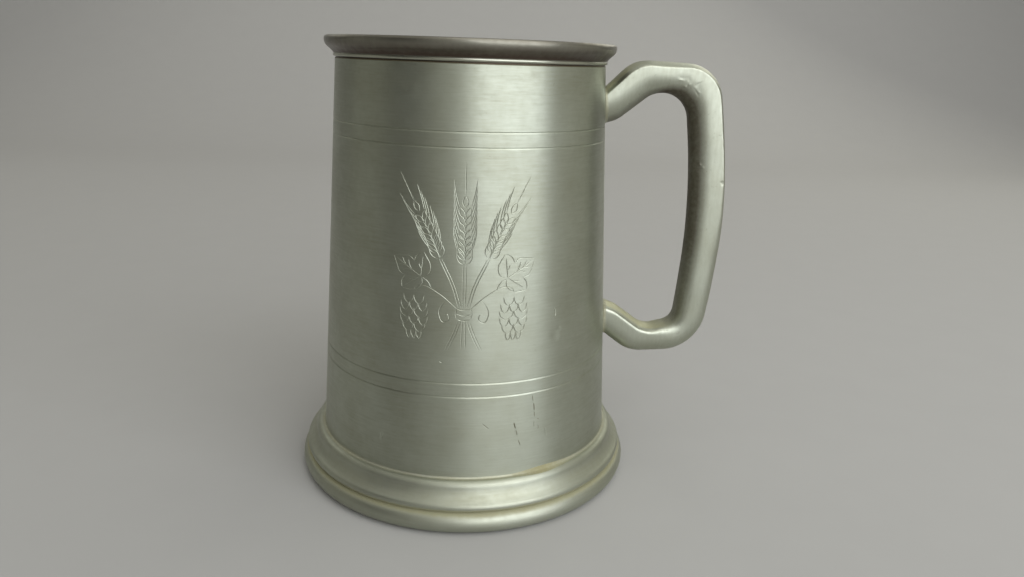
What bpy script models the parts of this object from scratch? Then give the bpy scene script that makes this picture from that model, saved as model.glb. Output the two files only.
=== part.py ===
"""A one-pint pewter tankard: a tapering barrel between a moulded lip and a moulded foot, with a
let-in floor and a cast scroll handle, all soldered together. Metres, +Z up, handle towards +X."""
import math

import bmesh
import bpy
from mathutils import Vector

for old in list(bpy.data.objects):
    bpy.data.objects.remove(old, do_unlink=True)

# Whole tankard
TANKARD_HEIGHT = 0.1280
SOLDER_FILM = 0.0003

# Barrel: outside radii at its top edge and where it enters the foot
BARREL_TOP_RADIUS = 0.0382
BARREL_BASE_RADIUS = 0.0443
BARREL_WALL = 0.0012

# Incised rings: two pairs, cut as fine V grooves
UPPER_RING_DROP = 0.0163
LOWER_RING_RISE = 0.0273
RING_SPACING = 0.0038
RING_WIDTH = 0.0006
RING_DEPTH = 0.0003

# Lip moulding: a rolled edge over a shallow cove, with a small bead at the joint. A sweep is the
# pair of angles, in degrees, between which a rounding runs
LIP_HEIGHT = 0.0055
LIP_OVERHANG = 0.00285
LIP_ROLL_RADIUS = 0.00095
LIP_BEAD_RADIUS = 0.0006
LIP_BEAD_PROUD = 0.0004
LIP_COVE_DEPTH = 0.00015
LIP_FLARE_DEPTH = 0.0005
LIP_ROLL_SWEEP = (160, -50)
LIP_BEAD_SWEEP = (60, -90)

# Foot moulding, from the top down: shoulder, cove, ridge, groove and a heavy torus
FOOT_HEIGHT = 0.0135
FOOT_OVERHANG = 0.0069
SHOULDER_WIDTH = 0.0019
SHOULDER_RADIUS = 0.0016
FOOT_COVE_DEPTH = 0.00025
RIDGE_RADIUS = 0.0013
RIDGE_INSET = 0.0021
RIDGE_LIFT = 0.00135
TORUS_RADIUS = 0.0031
REST_FACE_WIDTH = 0.0017
FOOT_HOLLOW_DEPTH = 0.0022
SHOULDER_SWEEP = (90, 22)
RIDGE_SWEEP = (42, -38)
TORUS_SWEEP = (74, -90)

# Ledge inside the foot, which carries the barrel's edge and the rim of the floor
LEDGE_HEIGHT = 0.0085
LEDGE_THICKNESS = 0.0015
FLOOR_LAP = 0.0024

# Floor of the cup
FLOOR_THICKNESS = 0.0015
FLOOR_CROWN = 0.0008

# Handle roots: the middle of each one's height, measured from the barrel's ends, and its depth there
UPPER_ROOT_DROP = 0.0112
UPPER_ROOT_DEPTH = 0.0100
LOWER_ROOT_RISE = 0.0332
LOWER_ROOT_DEPTH = 0.0102
ROOT_RUN_ON = 0.0070

# Handle seen from the side: an outer and an inner line of straight runs joined by bends. A corner is
# a height above the middle of the nearer root, a reach from the barrel's side and a bend radius
OUTER_KNEE = (0.0134, 0.0090, 0.0102)
OUTER_SHOULDER = (0.0125, 0.0337, 0.0113)
OUTER_HEEL = (-0.0104, 0.0307, 0.0140)
OUTER_TAIL = (-0.0114, 0.0081, 0.0108)
INNER_UPPER_NECK = (-0.0038, 0.0041, 0.0088)
INNER_KNEE = (0.0031, 0.0130, 0.0051)
INNER_SHOULDER = (0.0085, 0.0241, 0.0107)
INNER_HEEL = (-0.0014, 0.0228, 0.0045)
INNER_TAIL = (-0.0033, 0.0136, 0.0075)
INNER_LOWER_NECK = (0.0035, 0.0043, 0.0093)

# The grip bows out at half its height: a reach and a bend radius for each line
OUTER_GRIP = (0.0392, 0.1980)
INNER_GRIP = (0.0274, 0.1950)

# Handle section: a domed face with crisp edges on one side, and a rounded back on the other. The crisp
# face is outside on the upper arm and inside on the lower one, and it changes over along the grip
HANDLE_WIDTH = 0.0104
FACE_DOME = 0.0015
WIDEST_SHIFT = 0.40
CRISP_EDGE = 12.0
ROUND_EDGE = 2.5
CHANGE_OVER = (0.40, 0.80)

# Most of a straight run that the bends at its two ends may take up between them
RUN_USED = 0.98

# Solder fillets
HANDLE_FILLET_RISE = 0.0013
HANDLE_FILLET_SPREAD = 0.0011
FOOT_FILLET_LEG = 0.0008
FLOOR_FILLET_LEG = 0.0016
FILLET_HOLLOW = 0.3

# Colour and roughness of the metal
BARREL_FINISH = ((0.50, 0.49, 0.43), 0.34)
LIP_FINISH = ((0.48, 0.46, 0.40), 0.28)
FOOT_FINISH = ((0.52, 0.51, 0.44), 0.32)
FLOOR_FINISH = ((0.46, 0.45, 0.40), 0.38)
HANDLE_FINISH = ((0.54, 0.53, 0.46), 0.33)
SOLDER_FINISH = ((0.44, 0.42, 0.34), 0.42)

# Facets
TURNED_SEGMENTS = 64
CURVE_STEPS = 5
ROLL_STEPS = 9
CROWN_STEPS = 4
HANDLE_SEGMENTS = 20
CORNER_SPREAD = 3.24
BEND_STEPS = 8
SHORTEST_STEP = 0.0009
LONGEST_STEP = 0.0060
FILLET_SEGMENTS = 28
SMOOTH_ANGLE = math.radians(32)
MERGE_DISTANCE = 0.000001

# A handle root lies within this share of the handle from its end, and is found by halving
ROOT_SHARE = 0.16
HALVINGS = 40

# Heights and radii where one piece seats on the next
FOOT_RADIUS = BARREL_BASE_RADIUS + FOOT_OVERHANG
FOOT_TOP_Z = FOOT_HEIGHT
SEAT_Z = LEDGE_HEIGHT + SOLDER_FILM
FLOOR_TOP_Z = SEAT_Z + FLOOR_THICKNESS
LIP_BOTTOM_Z = TANKARD_HEIGHT - LIP_HEIGHT
BARREL_TOP_Z = LIP_BOTTOM_Z - SOLDER_FILM


def barrel_outside(z):
    """Outside radius of the barrel's straight taper at height z."""
    share = (z - FOOT_TOP_Z) / (BARREL_TOP_Z - FOOT_TOP_Z)
    return BARREL_BASE_RADIUS + (BARREL_TOP_RADIUS - BARREL_BASE_RADIUS) * share


def barrel_inside(z):
    return barrel_outside(z) - BARREL_WALL


def arc(centre, radius, sweep, steps):
    """Points of a circular arc in a profile's (radius, height) plane."""
    start, end = sweep
    points = []
    for i in range(steps + 1):
        angle = math.radians(start + (end - start) * i / steps)
        points.append((centre[0] + radius * math.cos(angle), centre[1] + radius * math.sin(angle)))
    return points


def hollow(start, end, depth):
    """Points strictly between two ends, on an arc that sinks to the right of the way by a depth."""
    chord = Vector((end[0] - start[0], end[1] - start[1]))
    aside = Vector((chord.y, -chord.x)).normalized()
    points = []
    for i in range(1, CURVE_STEPS):
        share = i / CURVE_STEPS
        point = Vector(start) + chord * share + aside * (depth * 4 * share * (1 - share))
        points.append((point.x, point.y))
    return points


def pewter(name, finish):
    colour, roughness = finish
    material = bpy.data.materials.new(name)
    material.use_nodes = True
    shader = material.node_tree.nodes["Principled BSDF"]
    shader.inputs["Base Color"].default_value = (*colour, 1.0)
    shader.inputs["Metallic"].default_value = 1.0
    shader.inputs["Roughness"].default_value = roughness
    return material


def add_piece(name, bm, finish):
    """Turns a bmesh into a smooth-shaded object on the tankard's axis."""
    bmesh.ops.recalc_face_normals(bm, faces=bm.faces)
    mesh = bpy.data.meshes.new(name)
    bm.to_mesh(mesh)
    bm.free()
    mesh.shade_smooth()
    mesh.set_sharp_from_angle(angle=SMOOTH_ANGLE)
    mesh.materials.append(pewter(name, finish))
    piece = bpy.data.objects.new(name, mesh)
    bpy.context.collection.objects.link(piece)
    piece.parent = axis
    return piece


def turned(profile, closed=True):
    """A solid of revolution about +Z from (radius, height) points."""
    bm = bmesh.new()
    verts = [bm.verts.new((r, 0.0, z)) for r, z in profile]
    edges = [bm.edges.new(pair) for pair in zip(verts, verts[1:])]
    if closed:
        edges.append(bm.edges.new((verts[-1], verts[0])))
    bmesh.ops.spin(bm, geom=verts + edges, cent=(0.0, 0.0, 0.0), axis=(0.0, 0.0, 1.0),
                   angle=2 * math.pi, steps=TURNED_SEGMENTS, use_merge=True)
    bmesh.ops.remove_doubles(bm, verts=bm.verts, dist=MERGE_DISTANCE)
    return bm


def barrel():
    """The straight tapering wall, with both pairs of rings cut in its outside."""
    outer = [(barrel_outside(BARREL_TOP_Z), BARREL_TOP_Z)]
    upper = BARREL_TOP_Z - UPPER_RING_DROP
    lower = FOOT_TOP_Z + LOWER_RING_RISE
    for ring_z in (upper, upper - RING_SPACING, lower, lower - RING_SPACING):
        outer.append((barrel_outside(ring_z + RING_WIDTH / 2), ring_z + RING_WIDTH / 2))
        outer.append((barrel_outside(ring_z) - RING_DEPTH, ring_z))
        outer.append((barrel_outside(ring_z - RING_WIDTH / 2), ring_z - RING_WIDTH / 2))
    outer.append((barrel_outside(SEAT_Z), SEAT_Z))
    inner = [(barrel_inside(SEAT_Z), SEAT_Z), (barrel_inside(BARREL_TOP_Z), BARREL_TOP_Z)]
    return add_piece("barrel", turned(outer + inner), BARREL_FINISH)


def lip_ring():
    """The moulding on the barrel's top edge, flared inside to a comfortable drinking lip."""
    bore = barrel_inside(BARREL_TOP_Z)
    seat = barrel_outside(BARREL_TOP_Z)
    roll_centre = (seat + LIP_OVERHANG - LIP_ROLL_RADIUS, TANKARD_HEIGHT - LIP_ROLL_RADIUS)
    roll = arc(roll_centre, LIP_ROLL_RADIUS, LIP_ROLL_SWEEP, ROLL_STEPS)
    bead_centre = (seat + LIP_BEAD_PROUD - LIP_BEAD_RADIUS, LIP_BOTTOM_Z + LIP_BEAD_RADIUS)
    bead = arc(bead_centre, LIP_BEAD_RADIUS, LIP_BEAD_SWEEP, CURVE_STEPS)
    bottom = (bore, LIP_BOTTOM_Z)
    flare = hollow(bottom, roll[0], -LIP_FLARE_DEPTH)
    cove = hollow(roll[-1], bead[0], LIP_COVE_DEPTH)
    profile = [bottom] + flare + roll + cove + bead
    return add_piece("lip_ring", turned(profile), LIP_FINISH)


def floor_rim():
    """Radius of the floor, which goes into the barrel from below."""
    return barrel_inside(FLOOR_TOP_Z) - SOLDER_FILM


def foot_ring():
    """The cast foot: a moulded outside, a hollow underside and an inner ledge."""
    collar = barrel_outside(FOOT_TOP_Z) + SOLDER_FILM
    shoulder_centre = (collar + SHOULDER_WIDTH - SHOULDER_RADIUS, FOOT_HEIGHT - SHOULDER_RADIUS)
    shoulder = arc(shoulder_centre, SHOULDER_RADIUS, SHOULDER_SWEEP, CURVE_STEPS)
    ridge_centre = (FOOT_RADIUS - RIDGE_INSET - RIDGE_RADIUS, 2 * TORUS_RADIUS + RIDGE_LIFT)
    ridge = arc(ridge_centre, RIDGE_RADIUS, RIDGE_SWEEP, CURVE_STEPS)
    torus_centre = (FOOT_RADIUS - TORUS_RADIUS, TORUS_RADIUS)
    torus = arc(torus_centre, TORUS_RADIUS, TORUS_SWEEP, ROLL_STEPS)
    rest_edge = (torus_centre[0] - REST_FACE_WIDTH, 0.0)
    ledge_outer = barrel_outside(LEDGE_HEIGHT) + SOLDER_FILM
    ledge_inner = floor_rim() - FLOOR_LAP
    ledge_low = (ledge_inner, LEDGE_HEIGHT - LEDGE_THICKNESS)
    profile = [(collar, FOOT_TOP_Z)] + shoulder + hollow(shoulder[-1], ridge[0], FOOT_COVE_DEPTH)
    profile += ridge + torus + [rest_edge] + hollow(rest_edge, ledge_low, FOOT_HOLLOW_DEPTH)
    profile += [ledge_low, (ledge_inner, LEDGE_HEIGHT), (ledge_outer, LEDGE_HEIGHT)]
    return add_piece("foot_ring", turned(profile), FOOT_FINISH)


def floor_disc():
    """The bottom plate, slightly crowned, held in the barrel's lower end by the foot's ledge."""
    under = []
    for i in range(CROWN_STEPS + 1):
        share = i / CROWN_STEPS
        under.append((floor_rim() * share, SEAT_Z + FLOOR_CROWN * (1 - share * share)))
    upper = [(r, z + FLOOR_THICKNESS) for r, z in reversed(under)]
    return add_piece("floor_disc", turned(under + upper, closed=False), FLOOR_FINISH)


def corner_fillet(corner, up, out):
    """A hollow-faced three-cornered bead section, from its corner and the ends of its two legs."""
    middle = tuple((u + o) / 2 + (c - (u + o) / 2) * FILLET_HOLLOW for c, u, o in zip(corner, up, out))
    return [up, middle, out, corner]


def foot_solder():
    """The run of solder in the angle between the barrel and the foot's shoulder."""
    low = FOOT_TOP_Z + SOLDER_FILM
    corner = (barrel_outside(low) + SOLDER_FILM, low)
    up = (barrel_outside(low + FOOT_FILLET_LEG) + SOLDER_FILM, low + FOOT_FILLET_LEG)
    out = (corner[0] + FOOT_FILLET_LEG, low)
    return add_piece("foot_solder", turned(corner_fillet(corner, up, out)), SOLDER_FINISH)


def floor_solder():
    """The fillet inside the cup, between the barrel's wall and the floor."""
    # The floor rises by this much under the fillet, because it is crowned
    crown_rise = FLOOR_CROWN * 2 * FLOOR_FILLET_LEG / floor_rim()
    low = FLOOR_TOP_Z + SOLDER_FILM + crown_rise
    corner = (barrel_inside(low) - SOLDER_FILM, low)
    up = (barrel_inside(low + FLOOR_FILLET_LEG) - SOLDER_FILM, low + FLOOR_FILLET_LEG)
    out = (corner[0] - FLOOR_FILLET_LEG, low)
    return add_piece("floor_solder", turned(corner_fillet(corner, up, out)), SOLDER_FINISH)


def side_point(z, reach):
    """A point in the handle's plane, a given reach out from the barrel's side."""
    return Vector((barrel_outside(z) + reach, 0.0, z))


def bend_reach(before, corner, after, bend):
    """How far from its corner a bend meets the straight runs beside it."""
    return bend / math.tan((before - corner).angle(after - corner) / 2)


def fitted_bends(corners, bends):
    """The bend radii, each limited so that it shares its straight runs with the bends beside it."""
    reaches = [0.0]
    for before, corner, after, bend in zip(corners, corners[1:], corners[2:], bends):
        reaches.append(bend_reach(before, corner, after, bend))
    reaches.append(0.0)
    runs = []
    for i in range(len(corners) - 1):
        taken = reaches[i] + reaches[i + 1]
        runs.append(min(1.0, RUN_USED * (corners[i + 1] - corners[i]).length / taken))
    return [bend * min(a, b) for bend, a, b in zip(bends, runs, runs[1:])]


def rounded_path(corners, bends):
    """A path of straight runs joined by tangent arcs."""
    path = [corners[0]]
    for before, corner, after, bend in zip(corners, corners[1:], corners[2:], fitted_bends(corners, bends)):
        back = (before - corner).normalized()
        ahead = (after - corner).normalized()
        reach = bend_reach(before, corner, after, bend)
        centre = corner + (back + ahead).normalized() * math.hypot(bend, reach)
        start = corner + back * reach - centre
        end = corner + ahead * reach - centre
        for i in range(BEND_STEPS + 1):
            path.append(centre + start.slerp(end, i / BEND_STEPS).normalized() * bend)
    path.append(corners[-1])
    return path


class Outline:
    """The outer or the inner line of the handle seen from the side, from root to root."""

    def __init__(self, upper_root_z, lower_root_z, corners, bends, shared_bends):
        upper_root = side_point(upper_root_z, 0.0)
        lower_root = side_point(lower_root_z, 0.0)
        # Both ends run on inside the barrel, where the saddle cut trims them
        upper_end = upper_root + (upper_root - corners[0]).normalized() * ROOT_RUN_ON
        lower_end = lower_root + (lower_root - corners[-1]).normalized() * ROOT_RUN_ON
        self.path = rounded_path([upper_end] + corners + [lower_end], bends)
        self.stations = [0.0]
        for a, b in zip(self.path, self.path[1:]):
            self.stations.append(self.stations[-1] + (b - a).length)
        # Marks are the ends, and the middles of the bends that both lines have
        middles = [1 + BEND_STEPS // 2 + i * (BEND_STEPS + 1) for i in shared_bends]
        self.marks = [0.0] + [self.stations[i] for i in middles] + [self.stations[-1]]

    def point(self, share):
        """The point at a share of the way, which runs evenly between one mark and the next."""
        mark = min(max(share, 0.0), 1.0) * (len(self.marks) - 1)
        i = min(int(mark), len(self.marks) - 2)
        station = self.marks[i] + (self.marks[i + 1] - self.marks[i]) * (mark - i)
        j = 1
        while j < len(self.stations) - 1 and self.stations[j] < station:
            j += 1
        span = self.stations[j] - self.stations[j - 1]
        return self.path[j - 1].lerp(self.path[j], (station - self.stations[j - 1]) / span)

    def path_shares(self):
        """The shares at which the line's own points stand."""
        shares = []
        for station in self.stations:
            i = 0
            while i < len(self.marks) - 2 and self.marks[i + 1] < station:
                i += 1
            part = (station - self.marks[i]) / (self.marks[i + 1] - self.marks[i])
            shares.append((i + part) / (len(self.marks) - 1))
        return shares


class Casting:
    """The handle's form: sections set between its outer and its inner line."""

    def __init__(self):
        upper_z = BARREL_TOP_Z - UPPER_ROOT_DROP
        lower_z = FOOT_TOP_Z + LOWER_ROOT_RISE

        def line(uppers, grip, lowers, upper_root_z, lower_root_z, shared_bends):
            reach, grip_bend = grip
            above = [side_point(upper_z + rise, out) for rise, out, _ in uppers]
            below = [side_point(lower_z + rise, out) for rise, out, _ in lowers]
            bow = side_point((above[-1].z + below[0].z) / 2, reach)
            bends = [bend for _, _, bend in uppers] + [grip_bend] + [bend for _, _, bend in lowers]
            return Outline(upper_root_z, lower_root_z, above + [bow] + below, bends, shared_bends)

        self.outer = line((OUTER_KNEE, OUTER_SHOULDER), OUTER_GRIP, (OUTER_HEEL, OUTER_TAIL),
                          upper_z + UPPER_ROOT_DEPTH / 2, lower_z - LOWER_ROOT_DEPTH / 2, (0, 1, 2, 3, 4))
        self.inner = line((INNER_UPPER_NECK, INNER_KNEE, INNER_SHOULDER), INNER_GRIP,
                          (INNER_HEEL, INNER_TAIL, INNER_LOWER_NECK),
                          upper_z - UPPER_ROOT_DEPTH / 2, lower_z + LOWER_ROOT_DEPTH / 2, (1, 2, 3, 4, 5))

    def middle(self, share):
        return (self.outer.point(share) + self.inner.point(share)) / 2

    def ring_shares(self):
        """Where the handle's sections stand: close in the bends, and spread along the straight runs."""
        shares = [0.0]
        for share in sorted(self.outer.path_shares() + self.inner.path_shares()):
            run = (self.middle(share) - self.middle(shares[-1])).length
            if run < SHORTEST_STEP:
                continue
            pieces = math.ceil(run / LONGEST_STEP)
            last = shares[-1]
            shares += [last + (share - last) * (i + 1) / pieces for i in range(pieces)]
        shares[-1] = 1.0
        return shares

    def lean(self, share):
        """1 where the crisp face is outside, -1 where it is inside, and between them on the way."""
        start, end = CHANGE_OVER
        return 1.0 - 2.0 * min(max((share - start) / (end - start), 0.0), 1.0)

    def surface(self, share, angle, grown=0.0):
        """A point on the section, grown outwards all round by a clearance. Angle 0 is the outer face."""
        outer = self.outer.point(share)
        inner = self.inner.point(share)
        outward = (outer - inner).normalized()
        half_depth = (outer - inner).length / 2
        shift = half_depth * WIDEST_SHIFT * self.lean(share)
        # A direction spread towards the corners, which is then drawn in to the section's outline
        power = 2.0 / CORNER_SPREAD
        out = math.copysign(abs(math.cos(angle)) ** power, math.cos(angle))
        across = math.copysign(abs(math.sin(angle)) ** power, math.sin(angle))
        side = math.copysign(1.0, out)
        reach = half_depth - side * shift + grown
        crisp = max(0.0, side * self.lean(share))
        squareness = ROUND_EDGE + (CRISP_EDGE - ROUND_EDGE) * crisp
        dome = FACE_DOME * crisp / reach
        to_face = (abs(out) + math.sqrt(out * out + 4 * dome * across * across)) / 2
        size = (abs(across) ** squareness + to_face ** squareness) ** (-1 / squareness)
        aside = Vector((0.0, (HANDLE_WIDTH / 2 + grown) * across * size, 0.0))
        return (outer + inner) / 2 + outward * (shift + reach * out * size) + aside

    def meets_barrel(self, from_share, to_share, angle, grown):
        """The share where a line along the surface leaves the barrel's soldered face."""
        inside, outside = from_share, to_share
        for _ in range(HALVINGS):
            middle = (inside + outside) / 2
            p = self.surface(middle, angle, grown)
            if math.hypot(p.x, p.y) < barrel_outside(p.z) + SOLDER_FILM:
                inside = middle
            else:
                outside = middle
        return outside


def section_angles(count):
    return [2 * math.pi * i / count for i in range(count)]


def skin_rings(bm, rings, closed):
    """Quads between successive rings of points, capped at both ends or joined round."""
    rows = [[bm.verts.new(p) for p in ring] for ring in rings]
    pairs = list(zip(rows, rows[1:]))
    if closed:
        pairs.append((rows[-1], rows[0]))
    else:
        bm.faces.new(rows[0])
        bm.faces.new(rows[-1])
    for a, b in pairs:
        for i in range(len(a)):
            j = (i + 1) % len(a)
            bm.faces.new((a[i], a[j], b[j], b[i]))


def saddle_cutter():
    """The barrel's outside grown by the solder film, which trims the handle's roots to a saddle."""
    low = FOOT_TOP_Z
    high = BARREL_TOP_Z
    profile = [(0.0, high), (barrel_outside(high) + SOLDER_FILM, high),
               (barrel_outside(low) + SOLDER_FILM, low), (0.0, low)]
    cutter = add_piece("saddle_cutter", turned(profile, closed=False), BARREL_FINISH)
    cutter.hide_render = True
    cutter.display_type = "WIRE"
    return cutter


def handle(casting):
    """The cast handle, lofted between its two lines and cut to sit on the barrel."""
    bm = bmesh.new()
    angles = section_angles(HANDLE_SEGMENTS)
    rings = [[casting.surface(share, angle) for angle in angles] for share in casting.ring_shares()]
    skin_rings(bm, rings, closed=False)
    piece = add_piece("handle", bm, HANDLE_FINISH)
    saddle = piece.modifiers.new("Saddle", "BOOLEAN")
    saddle.operation = "DIFFERENCE"
    saddle.solver = "EXACT"
    saddle.object = saddle_cutter()
    return piece


def handle_solder(name, casting, end, along):
    """A fillet round one root of the handle, following both the handle and the barrel."""
    bm = bmesh.new()
    far = end + along * ROOT_SHARE
    reach = (casting.middle(far) - casting.middle(end)).length
    rise = along * HANDLE_FILLET_RISE * ROOT_SHARE / reach
    wide = SOLDER_FILM + HANDLE_FILLET_SPREAD
    rings = []
    for angle in section_angles(FILLET_SEGMENTS):
        foot_share = casting.meets_barrel(end, far, angle, SOLDER_FILM)
        edge_share = casting.meets_barrel(end, far, angle, wide)
        corner = casting.surface(foot_share, angle, SOLDER_FILM)
        up = casting.surface(foot_share + rise, angle, SOLDER_FILM)
        out = casting.surface(edge_share, angle, wide)
        rings.append(corner_fillet(corner, up, out))
    skin_rings(bm, rings, closed=True)
    return add_piece(name, bm, SOLDER_FINISH)


# The barrel's axis stands off centre, so that the whole tankard is centred over the origin
casting = Casting()
handle_reach = max(casting.surface(share, 0.0).x for share in casting.ring_shares())
axis = bpy.data.objects.new("barrel_axis", None)
axis.location.x = -(handle_reach - FOOT_RADIUS) / 2
bpy.context.collection.objects.link(axis)

foot_ring()
floor_disc()
barrel()
floor_solder()
foot_solder()
lip_ring()
handle(casting)
handle_solder("upper_handle_solder", casting, 0.0, 1.0)
handle_solder("lower_handle_solder", casting, 1.0, -1.0)
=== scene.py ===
import math

import bmesh
import bpy
import numpy as np
from mathutils import Matrix, Vector, noise
from mathutils.geometry import delaunay_2d_cdt


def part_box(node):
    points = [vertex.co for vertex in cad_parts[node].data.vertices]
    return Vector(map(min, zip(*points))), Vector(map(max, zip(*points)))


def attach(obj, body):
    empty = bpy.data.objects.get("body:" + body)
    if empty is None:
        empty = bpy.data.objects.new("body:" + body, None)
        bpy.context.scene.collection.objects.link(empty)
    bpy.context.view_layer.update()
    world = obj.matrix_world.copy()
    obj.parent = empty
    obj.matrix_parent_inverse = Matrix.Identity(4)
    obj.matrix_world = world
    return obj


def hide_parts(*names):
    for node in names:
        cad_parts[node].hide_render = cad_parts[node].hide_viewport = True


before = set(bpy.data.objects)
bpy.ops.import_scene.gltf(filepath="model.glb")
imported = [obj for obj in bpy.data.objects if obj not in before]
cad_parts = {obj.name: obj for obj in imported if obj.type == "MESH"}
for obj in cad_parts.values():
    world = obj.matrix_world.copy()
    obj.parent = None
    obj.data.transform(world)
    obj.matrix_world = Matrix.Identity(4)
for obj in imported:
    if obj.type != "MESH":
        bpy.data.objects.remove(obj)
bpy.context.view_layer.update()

# FOOT. One heavy pewter casting, turned outside to a shoulder, a cove, a ridge, a groove and a torus,
# and left hollow underneath so that it stands on a narrow ring. Its inner ledge carries the barrel and
# the floor. Years of cleaning have left a yellow-brown tarnish in the hollows and bright metal elsewhere.
foot_low, foot_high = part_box("foot_ring")
AXIS = Vector(((foot_low.x + foot_high.x) / 2, 0.0, 0.0))
FOOT_RADIUS = (foot_high.x - foot_low.x) / 2
FOOT_TOP = foot_high.z
SHOULDER_WIDTH = 0.0023
SHOULDER_RADIUS = 0.0019
SHOULDER_SWEEP = (90, 22)
FOOT_COVE_DEPTH = 0.00055
RIDGE_RADIUS = 0.0013
RIDGE_INSET = 0.0014
RIDGE_LIFT = 0.0013
RIDGE_SWEEP = (42, -38)
FOOT_GROOVE_DEPTH = 0.00006
TORUS_RADIUS = 0.0031
TORUS_SWEEP = (74, -90)
REST_FACE_WIDTH = 0.0017
FOOT_HOLLOW_DEPTH = 0.0022
LEDGE_HEIGHT = 0.0085
LEDGE_THICKNESS = 0.0015
LEDGE_INNER_RADIUS = 0.0406
SOLDER_FILM = 0.0003
FOOT_COLUMNS = 288
MOULDING_STEPS = 12
TORUS_STEPS = 26
COVE_STEPS = 10
GROOVE_STEPS = 3
FOOT_HOLLOW_STEPS = 14
FOOT_UNEVENNESS = 0.00005
FOOT_SHELTER_REACH = 0.0019
FOOT_STAIN_GAIN = 1.3
SHARP_EDGE = math.radians(40)
TURNED_WELD = 1e-7

BARREL_BASE_RADIUS = 0.0443
BARREL_TOP_RADIUS = 0.0382
BARREL_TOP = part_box("barrel")[1].z
BARREL_TAPER = (BARREL_TOP_RADIUS - BARREL_BASE_RADIUS) / (BARREL_TOP - FOOT_TOP)


def barrel_side(z):
    """Outside radius of the barrel's straight taper at a height."""
    return BARREL_BASE_RADIUS + BARREL_TAPER * (z - FOOT_TOP)


def arc(centre, radius, start, end, steps):
    """Points of a round moulding in a (radius, height) profile, angles in degrees."""
    points = []
    for i in range(steps + 1):
        angle = math.radians(start + (end - start) * i / steps)
        points.append((centre[0] + radius * math.cos(angle), centre[1] + radius * math.sin(angle)))
    return points


def hollow(start, end, depth, steps):
    """Points strictly between two ends of a profile, sunk to the right of the way by a depth."""
    chord = Vector((end[0] - start[0], end[1] - start[1]))
    aside = Vector((chord.y, -chord.x)).normalized()
    points = []
    for i in range(1, steps):
        share = i / steps
        point = Vector(start) + chord * share + aside * (depth * 4 * share * (1 - share))
        points.append((point.x, point.y))
    return points


def shelter(profile, reach):
    """How sheltered each profile point is by its neighbours, from 0 on an edge to 1 deep in a groove."""
    points = np.array(profile)
    count = len(points)
    sheltered = []
    for i in range(count):
        way = points[(i + 1) % count] - points[i - 1]
        outward = np.array((-way[1], way[0])) / max(np.linalg.norm(way), 1e-9)
        covered = 0.0
        for side in (1, -1):
            steepest = 0.0
            for k in range(1, count // 2):
                offset = points[(i + side * k) % count] - points[i]
                distance = np.linalg.norm(offset)
                if distance > reach:
                    break
                if distance > 1e-6:
                    steepest = max(steepest, float(offset @ outward) / distance)
            covered += math.asin(min(steepest, 1.0))
        sheltered.append(covered / math.pi)
    return sheltered


def finished(name, bm, material):
    """Makes a mesh object on the barrel's axis, smooth apart from its sharp edges, riding on the part."""
    bmesh.ops.recalc_face_normals(bm, faces=bm.faces)
    mesh = bpy.data.meshes.new(name)
    bm.to_mesh(mesh)
    bm.free()
    mesh.shade_smooth()
    mesh.set_sharp_from_angle(angle=SHARP_EDGE)
    mesh.materials.append(material)
    piece = bpy.data.objects.new(name, mesh)
    piece.location = AXIS
    bpy.context.collection.objects.link(piece)
    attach(piece, "root")
    return piece


def stained_body():
    """An empty mesh and the layer that holds the tarnish and the painted shade of its points."""
    bm = bmesh.new()
    return bm, bm.verts.layers.float.new("tarnish_and_painted_shade")


def skin(bm, rows, ring=True):
    """Faces from each closed row of points to the next, and in a ring from the last row to the first."""
    followers = rows[1:] + rows[:1] if ring else rows[1:]
    for row, following in zip(rows, followers):
        for i in range(len(row)):
            j = (i + 1) % len(row)
            bm.faces.new((row[i], row[j], following[j], following[i]))


def full_turn(columns):
    """Even angles once round."""
    return [2 * math.pi * k / columns for k in range(columns)]


def turned(profile, columns, stains_and_painted_shade, unevenness=0.0):
    """A body of revolution from (radius, height) points, with a value of tarnish and painted shade for each
    of them.
    """
    bm, tarnish_and_painted_shade = stained_body()
    rows = []
    for angle in full_turn(columns):
        c, s = math.cos(angle), math.sin(angle)
        row = []
        for (r, z), stain_and_painted_shade in zip(profile, stains_and_painted_shade):
            swell = unevenness * noise.noise((3 * c, 3 * s, 90 * z)) if r > 0 else 0.0
            vert = bm.verts.new(((r + swell) * c, (r + swell) * s, z))
            vert[tarnish_and_painted_shade] = stain_and_painted_shade
            row.append(vert)
        rows.append(row)
    skin(bm, rows)
    bmesh.ops.remove_doubles(bm, verts=bm.verts, dist=TURNED_WELD)
    bmesh.ops.dissolve_degenerate(bm, edges=bm.edges, dist=TURNED_WELD)
    return bm


def wire(tree, kind, inputs=(), **settings):
    """Adds a shader node, sets or links its inputs, and gives its outputs."""
    made = tree.nodes.new(kind)
    for key, value in settings.items():
        setattr(made, key, value)
    for key, value in dict(inputs).items():
        if isinstance(value, bpy.types.NodeSocket):
            tree.links.new(value, made.inputs[key])
        else:
            made.inputs[key].default_value = value
    return made.outputs


def blend(tree, share, first, second):
    """A mix of two colours by a share."""
    colours = {0: share, 6: first, 7: second}
    return wire(tree, "ShaderNodeMix", colours, data_type="RGBA", clamp_factor=True)[2]


def reckon(tree, operation, first, second):
    """A sum, a difference, a product or a share of two values."""
    return wire(tree, "ShaderNodeMath", {0: first, 1: second}, operation=operation)[0]


def spread(tree, value, low, high, to_low=0.0, to_high=1.0):
    """Stretches a band of a value over another, cut off at both ends."""
    band = {"Value": value, "From Min": low, "From Max": high, "To Min": to_low, "To Max": to_high}
    return wire(tree, "ShaderNodeMapRange", band)[0]


def cloudiness(tree, place, size, detail=4.0):
    """Soft random patches of about a given size in metres."""
    inputs = {"Vector": place, "Scale": 1 / size, "Detail": detail, "Roughness": 0.6}
    return wire(tree, "ShaderNodeTexNoise", inputs)[0]


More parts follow.
